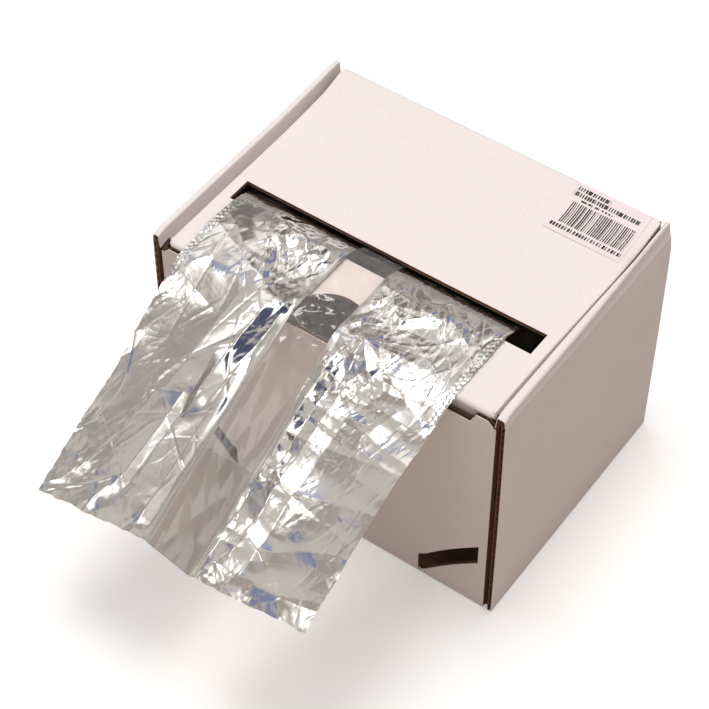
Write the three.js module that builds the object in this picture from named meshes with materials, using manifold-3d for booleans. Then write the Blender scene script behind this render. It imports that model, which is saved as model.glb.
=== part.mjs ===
// Dispenser box for hair-highlighting foil: a die-cut corrugated carton with a hinged lid, and the
// roll of foil inside it. The web is two foil bands joined by a clear film strip. It leaves the
// roll, comes up through the slot in the lid and hangs over the front edge.
// Millimetres, +Z up, +X to the right and -Y to the front, with the origin at the centre of the
// underside of the carton.
import * as THREE from "three";
import { mergeVertices } from "three/addons/utils/BufferGeometryUtils.js";
import Module from "manifold-3d";

const wasm = await Module();
wasm.setup();

// ---- Driving dimensions ----

const BOX = { width: 129, depth: 95, height: 96 };
const BOARD = 1.5; // single-wall board of the outer panels
const PLY = 1.0; // the same board, crushed where it is folded inside a wall
const GAP = 0.3; // play between neighbouring plies
const CREASE_INNER = 0.5; // inside radius of a folded ply
const SPINE_PLY = 1.2; // board round the top of a rolled side wall

const LID_RECESS = 2.5; // the lid lies this far below the tops of the side walls
const LID_PLAY = 0.4; // from the lid's side flaps to the inner walls
const LID_REACH = 46.4; // from the box centre to the lid's front edge

const SLOT = { halfLength: 55.5, front: -20.5, back: -11.3 }; // web slot in the lid
const THUMB = { radius: 13 }; // finger notch, centred on the lid's front edge

const FRONT_EDGE = { middle: 87.2, ends: 91.3, stepStart: 52.3, stepEnd: 54.4, bevel: 2.0 };
// The diagonal slots start open at the panel's lower edge, so their low inner corner is under it.
const DIAGONAL = { inner: 36.4, outer: 58.4, innerLow: -0.6, outerLow: 21.4, rise: 8.6 };

const DUST_FLAP = { length: 25.5, top: 90 };
const INNER_WALL = { halfLength: 43, tabStart: 14, tabEnd: 32, tabDrop: 1.5 };
const LID_FLAP = { depth: 18, front: -44, back: 46, taper: 8 };
const TUCK_FLAP = { halfWidth: 56, depth: 21.5, corner: 6, pivotY: -44.4, leanDegrees: 8 };

const ROLL = { y: 2, z: 38.3, radius: 36, coreOuter: 15, coreInner: 12.5, coreOverhang: 1.5 };
const WEB = { left: -53.3, right: 46.7, filmLeft: -10.7, filmRight: 4.4, thickness: 0.5 };
const WEB_STAND_OFF = 0.75; // from the roll's surface to the middle of the web that leaves it
const LEAD_END = { beforeSlot: 1.6, belowLid: 3.2 }; // where the lead stops, under the slot's back
const LABEL = { left: 30, right: 57.5, front: 25, back: 46.5, thickness: 0.2 };

// ---- Values worked out from them ----

const halfWidth = BOX.width / 2;
const halfDepth = BOX.depth / 2;
const outerPlyInside = halfWidth - BOARD;
const flapOutside = outerPlyInside - GAP;
const innerPlyOutside = flapOutside - PLY - GAP;
const innerPlyInside = innerPlyOutside - PLY;
const frontPanelHalf = flapOutside - PLY - CREASE_INNER - GAP;
const lidTop = BOX.height - LID_RECESS;
const lidUnder = lidTop - BOARD;
const lidFlapOutside = innerPlyInside - LID_PLAY;
const lidHalfWidth = lidFlapOutside - PLY - CREASE_INNER - GAP;

// ---- Materials ----

const finish = (color, roughness, metalness = 0, extra = {}) =>
  new THREE.MeshStandardMaterial({ color, roughness, metalness, ...extra });

const whiteBoard = finish(0xe9e1da, 0.75);
const shadedBoard = finish(0xd9d0c6, 0.8);
const kraftBoard = finish(0x9c7a55, 0.9);
const coreBoard = finish(0xa98a63, 0.85);
const aluminiumFoil = finish(0xd5d3cf, 0.22, 1);
const clearFilm = finish(0xe6e4e0, 0.15, 0, { transparent: true, opacity: 0.35 });
const labelPaper = finish(0xf1e9e8, 0.6);

// ---- Shape and placing helpers ----

const carton = new THREE.Group();

/** A closed outline through [across, up] points. */
function outline(points) {
  return new THREE.Shape(points.map(([across, up]) => new THREE.Vector2(across, up)));
}

/** A rectangle given by its low and high corners. */
function rectangle(lowAcross, lowUp, highAcross, highUp) {
  return outline([[lowAcross, lowUp], [highAcross, lowUp], [highAcross, highUp], [lowAcross, highUp]]);
}

function extrude(shape, thickness, curveSegments = 10) {
  return new THREE.ExtrudeGeometry(shape, { depth: thickness, bevelEnabled: false, curveSegments });
}

function toSolid(geometry) {
  const bare = geometry.clone();
  bare.deleteAttribute("normal");
  bare.deleteAttribute("uv");
  const merged = mergeVertices(bare, 1e-5);
  return new wasm.Manifold(new wasm.Mesh({
    numProp: 3,
    vertProperties: new Float32Array(merged.attributes.position.array),
    triVerts: new Uint32Array(merged.index.array),
  }));
}

function toGeometry(solid) {
  const result = solid.getMesh();
  const geometry = new THREE.BufferGeometry();
  geometry.setAttribute("position", new THREE.BufferAttribute(result.vertProperties, 3));
  geometry.setIndex(new THREE.BufferAttribute(result.triVerts, 1));
  return geometry;
}

/** A plate with openings, each given as an outline of its own and cut right through. */
function piercedPlate(shape, openings, thickness) {
  const margin = 1;
  let plate = toSolid(extrude(shape, thickness));
  for (const opening of openings) {
    const cutter = extrude(opening, thickness + 2 * margin);
    cutter.translate(0, 0, -margin);
    plate = plate.subtract(toSolid(cutter));
  }
  return toGeometry(plate);
}

function add(name, geometry, material) {
  const mesh = new THREE.Mesh(geometry, material);
  mesh.name = name;
  carton.add(mesh);
  return mesh;
}

/** Stands a plan outline (X, Y) up from a height. */
function addLying(name, shape, thickness, bottom, material, openings = []) {
  const mesh = add(name, piercedPlate(shape, openings, thickness), material);
  mesh.position.z = bottom;
  return mesh;
}

/** Turns a front outline (X, Z) to face the front, with its back face at backY. */
function addFacing(name, shape, thickness, backY, material, openings = []) {
  const mesh = add(name, piercedPlate(shape, openings, thickness), material);
  mesh.rotation.x = Math.PI / 2;
  mesh.position.y = backY;
  return mesh;
}

const sideways = new THREE.Matrix4().makeBasis(
  new THREE.Vector3(0, 1, 0),
  new THREE.Vector3(0, 0, 1),
  new THREE.Vector3(1, 0, 0),
);

/** Turns a side outline (Y, Z) so that its thickness runs along X from leftX. */
function addSideways(name, shape, thickness, leftX, material) {
  const mesh = add(name, extrude(shape, thickness), material);
  mesh.quaternion.setFromRotationMatrix(sideways);
  mesh.position.x = leftX;
  return mesh;
}

// ---- Carton: base, front and back ----

function addBase() {
  const reach = halfDepth - BOARD - GAP;
  const base = rectangle(-flapOutside, -reach, flapOutside, reach);
  const tabSlots = [];
  for (const side of [-1, 1]) {
    for (const end of [-1, 1]) {
      const near = end * (INNER_WALL.tabStart - GAP);
      const far = end * (INNER_WALL.tabEnd + GAP);
      tabSlots.push(rectangle(
        Math.min(side * (innerPlyInside - GAP), side * (innerPlyOutside + GAP)),
        Math.min(near, far),
        Math.max(side * (innerPlyInside - GAP), side * (innerPlyOutside + GAP)),
        Math.max(near, far),
      ));
    }
  }
  addLying("base_panel", base, BOARD, 0, whiteBoard, tabSlots);
}

function addFrontPanel() {
  const { middle, ends, stepStart, stepEnd, bevel } = FRONT_EDGE;
  const half = frontPanelHalf;
  const panel = outline([
    [-half, 0], [half, 0],
    [half, ends - bevel], [half - bevel, ends], [stepEnd, ends], [stepStart, middle],
    [-stepStart, middle], [-stepEnd, ends], [bevel - half, ends], [-half, ends - bevel],
  ]);
  const { inner, outer, innerLow, outerLow, rise } = DIAGONAL;
  const diagonals = [-1, 1].map((side) => outline([
    [side * inner, innerLow], [side * outer, outerLow],
    [side * outer, outerLow + rise], [side * inner, innerLow + rise],
  ]));
  addFacing("front_panel", panel, BOARD, BOARD - halfDepth, whiteBoard, diagonals);
}

function addBackPanel() {
  const panel = rectangle(-frontPanelHalf, 0, frontPanelHalf, lidUnder - 2 * GAP);
  addFacing("back_panel", panel, BOARD, halfDepth, whiteBoard);
}

/** The plan of a flap that turns a front corner and runs back inside a side wall. */
function dustFlapPlan(side) {
  const centreX = side * (flapOutside - PLY - CREASE_INNER);
  const centreY = BOARD - halfDepth;
  const outer = PLY + CREASE_INNER;
  const sideAngle = side > 0 ? 0 : -Math.PI;
  const plan = new THREE.Shape();
  plan.moveTo(centreX, centreY - outer);
  plan.absarc(centreX, centreY, outer, -Math.PI / 2, sideAngle, side < 0);
  plan.lineTo(side * flapOutside, centreY + DUST_FLAP.length);
  plan.lineTo(side * (flapOutside - PLY), centreY + DUST_FLAP.length);
  plan.absarc(centreX, centreY, CREASE_INNER, sideAngle, -Math.PI / 2, side > 0);
  return plan;
}

function addDustFlaps() {
  const bottom = BOARD + GAP;
  const height = DUST_FLAP.top - bottom;
  // Turned half round about the upright axis, the flap of one front corner fits the back corner
  // that lies across from it.
  for (const [side, front, back] of [[-1, "front_left", "back_right"], [1, "front_right", "back_left"]]) {
    addLying(`${front}_dust_flap`, dustFlapPlan(side), height, bottom, shadedBoard);
    addLying(`${back}_dust_flap`, dustFlapPlan(side), height, bottom, shadedBoard).rotation.z = Math.PI;
  }
}

// ---- Carton: rolled side walls ----

function spineSection(outer, inner) {
  const section = new THREE.Shape();
  section.absarc(0, 0, outer, 0, Math.PI, false);
  section.absarc(0, 0, inner, Math.PI, 0, true);
  return section;
}

function innerWallOutline() {
  const { halfLength, tabStart, tabEnd, tabDrop } = INNER_WALL;
  const bottom = BOARD + GAP;
  const tabBottom = bottom - tabDrop;
  return outline([
    [-halfLength, bottom], [-tabEnd, bottom], [-tabEnd, tabBottom], [-tabStart, tabBottom],
    [-tabStart, bottom], [tabStart, bottom], [tabStart, tabBottom], [tabEnd, tabBottom],
    [tabEnd, bottom], [halfLength, bottom],
    [halfLength, spineBase - GAP], [-halfLength, spineBase - GAP],
  ]);
}

const spineRadius = (halfWidth - innerPlyInside) / 2;
const spineBase = BOX.height - spineRadius;

function addSideWalls() {
  const outerWall = rectangle(-halfDepth, 0, halfDepth, spineBase - GAP);
  for (const [side, name] of [[-1, "left"], [1, "right"]]) {
    const outerLeft = side > 0 ? outerPlyInside : -halfWidth;
    const innerLeft = side > 0 ? innerPlyInside : -innerPlyOutside;
    addSideways(`${name}_outer_wall`, outerWall, BOARD, outerLeft, whiteBoard);
    addSideways(`${name}_inner_wall`, innerWallOutline(), PLY, innerLeft, shadedBoard);
    const section = spineSection(spineRadius, spineRadius - SPINE_PLY);
    const spine = addFacing(`${name}_wall_spine`, section, 2 * INNER_WALL.halfLength,
      INNER_WALL.halfLength, whiteBoard);
    spine.position.x = side * (halfWidth - spineRadius);
    spine.position.z = spineBase;
  }
}

// ---- Lid, its flaps and the label ----

function addLidPanel() {
  const corner = 1.5;
  const half = lidHalfWidth;
  const panel = new THREE.Shape();
  panel.moveTo(-half, halfDepth);
  panel.lineTo(-half, corner - LID_REACH);
  panel.lineTo(corner - half, -LID_REACH);
  panel.lineTo(-THUMB.radius, -LID_REACH);
  panel.absarc(0, -LID_REACH, THUMB.radius, Math.PI, 0, true);
  panel.lineTo(half - corner, -LID_REACH);
  panel.lineTo(half, corner - LID_REACH);
  panel.lineTo(half, halfDepth);
  const slot = rectangle(-SLOT.halfLength, SLOT.front, SLOT.halfLength, SLOT.back);
  addLying("lid_panel", panel, BOARD, lidUnder, whiteBoard, [slot]);
}

/** The end-on section of a flap that turns down from a side edge of the lid. */
function lidFlapSection(side) {
  const centreX = side * (lidFlapOutside - PLY - CREASE_INNER);
  const centreZ = lidTop - PLY - CREASE_INNER;
  const bottom = lidUnder - LID_FLAP.depth;
  const sideAngle = side > 0 ? 0 : Math.PI;
  const section = new THREE.Shape();
  section.moveTo(centreX, lidTop);
  section.absarc(centreX, centreZ, PLY + CREASE_INNER, Math.PI / 2, sideAngle, side > 0);
  section.lineTo(side * lidFlapOutside, bottom);
  section.lineTo(side * (lidFlapOutside - PLY), bottom);
  section.absarc(centreX, centreZ, CREASE_INNER, sideAngle, Math.PI / 2, side < 0);
  return section;
}

function addLidFlaps() {
  const { depth, front, back, taper } = LID_FLAP;
  const length = back - front;
  const margin = 5;
  // Seen from the side, the flap is full length at the crease and narrows to its lower edge.
  const trim = extrude(outline([
    [front, lidTop + margin], [front, lidUnder - BOARD], [front + taper, lidUnder - depth],
    [back - taper, lidUnder - depth], [back, lidUnder - BOARD], [back, lidTop + margin],
  ]), BOX.width);
  trim.applyMatrix4(sideways);
  trim.translate(-halfWidth, 0, 0);
  for (const [side, name] of [[-1, "left"], [1, "right"]]) {
    const prism = extrude(lidFlapSection(side), length);
    prism.rotateX(Math.PI / 2);
    prism.translate(0, back, 0);
    add(`lid_${name}_flap`, toGeometry(toSolid(prism).intersect(toSolid(trim))), shadedBoard);
  }
}

function addTuckFlap() {
  const { halfWidth: half, depth, corner, pivotY, leanDegrees } = TUCK_FLAP;
  const notch = THUMB.radius - (LID_REACH + pivotY);
  const flap = new THREE.Shape();
  flap.moveTo(half, 0);
  flap.lineTo(half, corner - depth);
  flap.lineTo(half - corner, -depth);
  flap.lineTo(corner - half, -depth);
  flap.lineTo(-half, corner - depth);
  flap.lineTo(-half, 0);
  flap.lineTo(-notch, 0);
  flap.absarc(0, 0, notch, Math.PI, 2 * Math.PI, false);
  const mesh = addFacing("tuck_flap", flap, PLY, pivotY, shadedBoard);
  mesh.position.z = lidUnder - GAP;
  mesh.rotation.x = Math.PI / 2 + THREE.MathUtils.degToRad(leanDegrees);
}

function addLabel() {
  const label = rectangle(LABEL.left, LABEL.front, LABEL.right, LABEL.back);
  addLying("label", label, LABEL.thickness, lidTop + GAP / 2, labelPaper);
}

// ---- Roll ----

const bands = [
  { name: "left_foil", from: WEB.left, to: WEB.filmLeft - GAP / 2, material: aluminiumFoil },
  { name: "clear_film", from: WEB.filmLeft + GAP / 2, to: WEB.filmRight - GAP / 2, material: clearFilm },
  { name: "right_foil", from: WEB.filmRight + GAP / 2, to: WEB.right, material: aluminiumFoil },
];

/** A ring around the roll's axis, between two radii and two places along X. */
function addRing(name, inner, outer, from, to, segments, material) {
  const section = [[inner, from], [outer, from], [outer, to], [inner, to], [inner, from]];
  const profile = section.map(([radius, along]) => new THREE.Vector2(radius, along));
  const mesh = add(name, new THREE.LatheGeometry(profile, segments), material);
  mesh.rotation.z = -Math.PI / 2;
  mesh.position.set(0, ROLL.y, ROLL.z);
  return mesh;
}

function addRoll() {
  const segments = 64;
  addRing("core_tube", ROLL.coreInner, ROLL.coreOuter, WEB.left - ROLL.coreOverhang,
    WEB.right + ROLL.coreOverhang, segments, coreBoard);
  for (const { name, from, to, material } of bands) {
    addRing(`${name}_winding`, ROLL.coreOuter + GAP, ROLL.radius, from, to, segments, material);
  }
}

// ---- Web, from the roll to its hanging end ----

/** The closed side outline of a sheet of one thickness that follows a path of [y, z] points. */
function sheetOutline(path, thickness) {
  const points = path.map(([y, z]) => new THREE.Vector2(y, z));
  const offset = (point, index) => {
    const before = points[Math.max(index - 1, 0)];
    const after = points[Math.min(index + 1, points.length - 1)];
    const along = after.clone().sub(before).normalize();
    return new THREE.Vector2(-along.y, along.x).multiplyScalar(thickness / 2);
  };
  const over = points.map((point, index) => point.clone().add(offset(point, index)));
  const under = points.map((point, index) => point.clone().sub(offset(point, index)));
  return new THREE.Shape([...over, ...under.reverse()]);
}

/** The straight run from the back of the roll's top up to the slot. */
function leadPath() {
  const slotLip = new THREE.Vector2(SLOT.back - LEAD_END.beforeSlot, lidTop - LEAD_END.belowLid);
  const toLip = slotLip.clone().sub(new THREE.Vector2(ROLL.y, ROLL.z));
  const radius = ROLL.radius + WEB_STAND_OFF;
  const angle = toLip.angle() - Math.acos(radius / toLip.length());
  const leaving = [ROLL.y + radius * Math.cos(angle), ROLL.z + radius * Math.sin(angle)];
  return [leaving, [slotLip.x, slotLip.y]];
}

// Up through the slot, over its front lip and the lid, then forward and down in front of the box.
const hangingPath = [
  [-13.5, 91.4], [-15.6, 92.9], [-18.5, 93.9], [-21.0, 94.3], [-30.0, 94.5], [-40.0, 94.4],
  [-45.5, 94.3], [-48.5, 93.7], [-51.5, 92.4], [-58.0, 89.2], [-72.0, 82.0], [-87.0, 74.2],
  [-102.0, 66.6], [-120.5, 57.5],
];

function addWeb() {
  for (const { name, from, to, material } of bands) {
    for (const [part, path] of [["lead", leadPath()], ["web", hangingPath]]) {
      addSideways(`${name}_${part}`, sheetOutline(path, WEB.thickness), to - from, from, material);
    }
  }
}

addBase();
addFrontPanel();
addBackPanel();
addDustFlaps();
addSideWalls();
addLidPanel();
addLidFlaps();
addTuckFlap();
addLabel();
addRoll();
addWeb();

export default carton;
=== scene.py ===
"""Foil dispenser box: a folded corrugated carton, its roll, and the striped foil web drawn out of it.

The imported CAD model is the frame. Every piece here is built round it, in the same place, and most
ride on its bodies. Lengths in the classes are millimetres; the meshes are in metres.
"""

import logging
import math
from collections.abc import Callable, Iterable, Sequence
from dataclasses import dataclass, field
from enum import Enum

import bpy
import numpy as np
from mathutils import Matrix, Vector


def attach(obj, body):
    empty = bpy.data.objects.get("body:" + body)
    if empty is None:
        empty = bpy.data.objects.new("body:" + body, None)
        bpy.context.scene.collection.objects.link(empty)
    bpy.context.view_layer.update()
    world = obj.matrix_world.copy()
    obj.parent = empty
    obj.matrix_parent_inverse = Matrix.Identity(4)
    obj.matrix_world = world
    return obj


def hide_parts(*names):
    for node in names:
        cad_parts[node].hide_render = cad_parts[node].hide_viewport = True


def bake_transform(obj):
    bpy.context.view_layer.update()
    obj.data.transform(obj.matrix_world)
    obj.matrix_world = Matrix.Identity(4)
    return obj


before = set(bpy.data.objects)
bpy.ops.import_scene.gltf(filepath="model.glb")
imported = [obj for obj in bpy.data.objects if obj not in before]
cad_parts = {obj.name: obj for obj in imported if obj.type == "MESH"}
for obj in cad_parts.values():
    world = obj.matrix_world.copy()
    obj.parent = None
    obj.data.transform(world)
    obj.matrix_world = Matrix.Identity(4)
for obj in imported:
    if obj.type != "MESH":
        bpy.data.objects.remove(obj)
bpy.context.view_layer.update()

LOG = logging.getLogger("foil_box")
MM = 0.001

Piece = bpy.types.Object
Material = bpy.types.Material
Tree = bpy.types.NodeTree
Socket = bpy.types.NodeSocket
Point = tuple[float, float]
Way = tuple[float, float, float]
Colour = tuple[float, float, float]
# Takes two shares from 0 to 1 for each point of a grid, and gives the points' places in millimetres.
Laying = Callable[[np.ndarray, np.ndarray], np.ndarray]
# Takes rows of X, Y and Z in millimetres and gives them moved.
Warp = Callable[[np.ndarray], np.ndarray]
# Takes distances along a line and gives how deep under it the surface lies at each.
Depths = Callable[[np.ndarray], np.ndarray]


# ---------------------------------------------------------------- modelling


class Plane(Enum):
    """The plane that an outline lies in. Its values are the axes of the outline and of its depth."""

    UPRIGHT = (0, 2, 1)
    LEVEL = (0, 1, 2)
    SIDE = (1, 2, 0)

    def place(self, across: np.ndarray, up: np.ndarray, depth: np.ndarray) -> np.ndarray:
        """Puts outline coordinates and a depth on the three axes.

        Args:
            across: the outline's first coordinate of each point.
            up: the outline's second coordinate of each point.
            depth: how far each point lies along the third axis.

        Returns:
            One row of X, Y and Z for each point.
        """
        first, second, third = self.value
        rows = np.empty((len(across), 3))
        rows[:, first], rows[:, second], rows[:, third] = across, up, depth
        return rows


class Bench:
    """The modelling operators, as the makers below use them."""

    @staticmethod
    def clear() -> None:
        """Leaves edit mode and selects nothing."""
        active = bpy.context.view_layer.objects.active
        if active and active.mode != "OBJECT":
            bpy.ops.object.mode_set(mode="OBJECT")
        bpy.ops.object.select_all(action="DESELECT")

    @staticmethod
    def take(*pieces: Piece) -> None:
        """Selects pieces and makes the first one active.

        Args:
            pieces: the pieces to work on.
        """
        Bench.clear()
        for piece in pieces:
            piece.select_set(True)
        bpy.context.view_layer.objects.active = pieces[0]

    @staticmethod
    def rename(piece: Piece, name: str) -> Piece:
        """Names a piece and its mesh."""
        piece.name = piece.data.name = name
        return piece

    @staticmethod
    def points(piece: Piece) -> np.ndarray:
        """Reads a piece's vertices.

        Args:
            piece: the piece to read.

        Returns:
            One row of X, Y and Z in millimetres for each vertex.
        """
        rows = np.empty(len(piece.data.vertices) * 3)
        piece.data.vertices.foreach_get("co", rows)
        return rows.reshape(-1, 3) / MM

    @staticmethod
    def move(piece: Piece, rows: np.ndarray) -> None:
        """Puts the piece's vertices at these places, in millimetres."""
        piece.data.vertices.foreach_set("co", (rows * MM).astype(np.float32).ravel())
        piece.data.update()

    @staticmethod
    def sheet(name: str, columns: int, rows: int, place: Laying) -> Piece:
        """Adds a grid and lays it on a surface.

        Args:
            name: the piece's name.
            columns: faces along the first direction.
            rows: faces along the second direction.
            place: lays the grid's points.

        Returns:
            The grid, with its own UV map of the two shares.
        """
        Bench.clear()
        bpy.ops.mesh.primitive_grid_add(x_subdivisions=columns, y_subdivisions=rows, size=1)
        piece = Bench.rename(bpy.context.object, name)
        second, first = np.meshgrid(
            np.linspace(0, 1, rows + 1), np.linspace(0, 1, columns + 1), indexing="ij"
        )
        Bench.move(piece, place(first.ravel(), second.ravel()))
        return piece

    @staticmethod
    def modify(piece: Piece, kind: str, **settings: object) -> None:
        """Adds a modifier and applies it.

        Args:
            piece: the piece to change.
            kind: the modifier's type.
            settings: the modifier's own options.
        """
        Bench.take(piece)
        modifier = piece.modifiers.new(kind.title(), kind)
        for key, value in settings.items():
            setattr(modifier, key, value)
        bpy.ops.object.modifier_apply(modifier=modifier.name)

    @staticmethod
    def skin(
        name: str, columns: int, rows: int, place: Laying,
        thickness: float, material: Material, offset: float = 0.0,
    ) -> Piece:
        """Lays a sheet, and gives it its thickness and its finish.

        Args:
            name: the piece's name.
            columns: faces along the first direction.
            rows: faces along the second direction.
            place: lays the grid's points.
            thickness: how thick the sheet is, in millimetres.
            material: its finish.
            offset: 0 to thicken it to both sides alike, and -1 or 1 to one side only.

        Returns:
            The closed, thin solid.
        """
        piece = Bench.sheet(name, columns, rows, place)
        Bench.modify(
            piece, "SOLIDIFY", thickness=thickness * MM, offset=offset, use_even_offset=False,
            use_quality_normals=True,
        )
        Bench.dress(piece, material)
        return piece

    @staticmethod
    def prism(outline: Sequence[Point], plane: Plane, low: float, high: float) -> Piece:
        """Makes a solid of one outline.

        Args:
            outline: the outline's corners in order.
            plane: the plane that it lies in.
            low: where the solid starts along the third axis.
            high: where it ends.

        Returns:
            The closed solid.
        """
        Bench.clear()
        bpy.ops.mesh.primitive_circle_add(vertices=len(outline), fill_type="NGON")
        solid = bpy.context.object
        corners = np.array(outline, float)
        Bench.move(solid, plane.place(corners[:, 0], corners[:, 1], np.full(len(corners), low)))
        way = [0.0, 0.0, 0.0]
        way[plane.value[2]] = (high - low) * MM
        bpy.ops.object.mode_set(mode="EDIT")
        bpy.ops.mesh.select_all(action="SELECT")
        bpy.ops.mesh.extrude_region_move(TRANSFORM_OT_translate={"value": way})
        bpy.ops.mesh.select_all(action="SELECT")
        bpy.ops.mesh.normals_make_consistent(inside=False)
        bpy.ops.object.mode_set(mode="OBJECT")
        return solid

    @staticmethod
    def cut(pieces: Iterable[Piece], cutters: Iterable[Piece]) -> None:
        """Takes each cutter out of each piece, and then throws the cutters away.

        Args:
            pieces: the pieces to cut.
            cutters: closed solids.
        """
        cutters = list(cutters)
        for piece in pieces:
            for cutter in cutters:
                Bench.modify(piece, "BOOLEAN", operation="DIFFERENCE", solver="EXACT", object=cutter)
        for cutter in cutters:
            bpy.data.objects.remove(cutter)

    @staticmethod
    def join(pieces: Sequence[Piece], name: str) -> Piece:
        """Makes one piece of several.

        Args:
            pieces: the pieces to join.
            name: the joined piece's name.

        Returns:
            The joined piece.
        """
        Bench.take(*pieces)
        bpy.ops.object.join()
        return Bench.rename(pieces[0], name)

    @staticmethod
    def soften(piece: Piece, degrees: float = 35.0) -> None:
        """Shades the piece smooth, apart from edges sharper than this angle."""
        Bench.take(piece)
        bpy.ops.object.shade_smooth_by_angle(angle=math.radians(degrees))

    @staticmethod
    def dress(piece: Piece, material: Material) -> None:
        """Gives the whole piece one material."""
        piece.data.materials.clear()
        piece.data.materials.append(material)


def straight(start: Point, end: Point, step: float = 5.0) -> list[Point]:
    """Points on a straight line.

    Args:
        start: the first point.
        end: the last point.
        step: the points are no further apart than this.

    Returns:
        The points, with both ends.
    """
    count = max(1, math.ceil(math.dist(start, end) / step))
    shares = np.linspace(0, 1, count + 1)
    return [(start[0] + (end[0] - start[0]) * t, start[1] + (end[1] - start[1]) * t) for t in shares]


def bend(centre: Point, radius: float, start: float, end: float, step: float = 12.0) -> list[Point]:
    """Points on an arc.

    Args:
        centre: the arc's centre.
        radius: its radius.
        start: the first point's angle in degrees.
        end: the last point's angle in degrees.
        step: neighbours are no further apart than this angle in degrees.

    Returns:
        The points, with both ends.
    """
    count = max(2, math.ceil(abs(end - start) / step))
    angles = np.radians(np.linspace(start, end, count + 1))
    return [(centre[0] + radius * math.cos(a), centre[1] + radius * math.sin(a)) for a in angles]


def smooth(value: np.ndarray, low: float, high: float) -> np.ndarray:
    """A share that rises smoothly from 0 at low to 1 at high."""
    t = np.clip((value - low) / (high - low), 0, 1)
    return t * t * (3 - 2 * t)


class Line:
    """A line in a plane, with the direction square to it at each place."""

    def __init__(self, *parts: Sequence[Point]) -> None:
        """Joins parts end to end, without their doubled points.

        Args:
            parts: the points of each part.
        """
        same = 1e-4
        rows = [np.array(parts[0][0], float)]
        for point in (p for part in parts for p in part):
            if math.dist(rows[-1], point) > same:
                rows.append(np.array(point, float))
        self.points = np.array(rows)
        self.lengths = np.concatenate(
            [[0.0], np.cumsum(np.linalg.norm(np.diff(self.points, axis=0), axis=1))]
        )
        along = np.gradient(self.points, axis=0)
        along /= np.linalg.norm(along, axis=1)[:, None]
        self.squares = np.stack([-along[:, 1], along[:, 0]], axis=1)

    @property
    def length(self) -> float:
        """The line's whole length."""
        return float(self.lengths[-1])

    def at(self, distance: np.ndarray, aside: np.ndarray | float = 0.0) -> tuple[np.ndarray, np.ndarray]:
        """Places along the line.

        Args:
            distance: how far along the line each place is.
            aside: how far it lies to the left of the line.

        Returns:
            The two coordinates of each place.
        """
        first = np.interp(distance, self.lengths, self.points[:, 0])
        second = np.interp(distance, self.lengths, self.points[:, 1])
        return (
            first + aside * np.interp(distance, self.lengths, self.squares[:, 0]),
            second + aside * np.interp(distance, self.lengths, self.squares[:, 1]),
        )


# ---------------------------------------------------------------- finishes


class Recipe:
    """A node tree under construction."""

    def __init__(self, tree: Tree) -> None:
        """Starts on a tree."""
        self.tree = tree

    def node(
        self, kind: str, inputs: dict[object, object] | None = None, **settings: object
    ) -> bpy.types.Node:
        """Adds a node.

        Args:
            kind: the node's type name, without the part that all shader nodes share.
            inputs: values, or other nodes' outputs, by input name or number.
            settings: the node's own options.

        Returns:
            The node.
        """
        made = self.tree.nodes.new(kind if kind.startswith("Node") else "ShaderNode" + kind)
        for key, value in settings.items():
            setattr(made, key, value)
        for key, value in (inputs or {}).items():
            self.feed(made.inputs[key], value)
        return made

    def feed(self, socket: Socket, value: object) -> None:
        """Links an output to a socket, or sets the socket's own value.

        Args:
            socket: the socket to feed.
            value: a plain value or another node's output.
        """
        if isinstance(value, Socket):
            self.tree.links.new(value, socket)
        else:
            socket.default_value = value

    def math(self, operation: str, *values: object) -> Socket:
        """A sum or other operation on numbers."""
        return self.node("Math", dict(enumerate(values)), operation=operation).outputs[0]

    def noise(self, vector: object, scale: object, detail: float = 3.0) -> Socket:
        """Cloudy noise from 0 to 1."""
        return self.node("TexNoise", {"Vector": vector, "Scale": scale, "Detail": detail}).outputs[0]

    def axis(self, vector: object, name: str) -> Socket:
        """One coordinate of a vector, by its letter."""
        return self.node("SeparateXYZ", {"Vector": vector}).outputs[name]

    def ramp(
        self, value: object, low: float, high: float, to_low: float = 0.0, to_high: float = 1.0
    ) -> Socket:
        """Maps a range of numbers to another and clamps it."""
        ends = {"From Min": low, "From Max": high, "To Min": to_low, "To Max": to_high}
        return self.node("MapRange", {"Value": value, **ends}).outputs[0]

    def mix(self, share: object, first: object, second: object) -> Socket:
        """Mixes two colours.

        Args:
            share: how much of the second colour there is, from 0 to 1.
            first: a colour, or a node's output.
            second: a colour, or a node's output.

        Returns:
            The mixed colour.
        """
        # A Mix node has its two colours, and the mixed one, after its sockets for numbers and vectors.
        made = self.node("Mix", {0: share}, data_type="RGBA")
        for socket, value in ((made.inputs[6], first), (made.inputs[7], second)):
            self.feed(socket, (*value, 1.0) if isinstance(value, tuple) and len(value) == 3 else value)
        return made.outputs[2]


class Effect:
    """A shader node group with named inputs and outputs."""

    def __init__(self, name: str, inputs: dict[str, float], outputs: Sequence[str]) -> None:
        """Starts a group.

        Args:
            name: the group's name.
            inputs: each input's name and its usual value.
            outputs: the names of its outputs, all numbers.
        """
        self.tree = bpy.data.node_groups.new(name, "ShaderNodeTree")
        self.recipe = Recipe(self.tree)
        self.tree.interface.new_socket("Place", in_out="INPUT", socket_type="NodeSocketVector")
        for key, value in inputs.items():
            made = self.tree.interface.new_socket(key, in_out="INPUT", socket_type="NodeSocketFloat")
            made.default_value = value
        for key in outputs:
            self.tree.interface.new_socket(key, in_out="OUTPUT", socket_type="NodeSocketFloat")
        self.given = self.tree.nodes.new("NodeGroupInput").outputs
        self.result = self.tree.nodes.new("NodeGroupOutput").inputs

    def put(self, name: str, value: Socket) -> None:
        """Sends a value out of the group."""
        self.tree.links.new(value, self.result[name])


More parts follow.
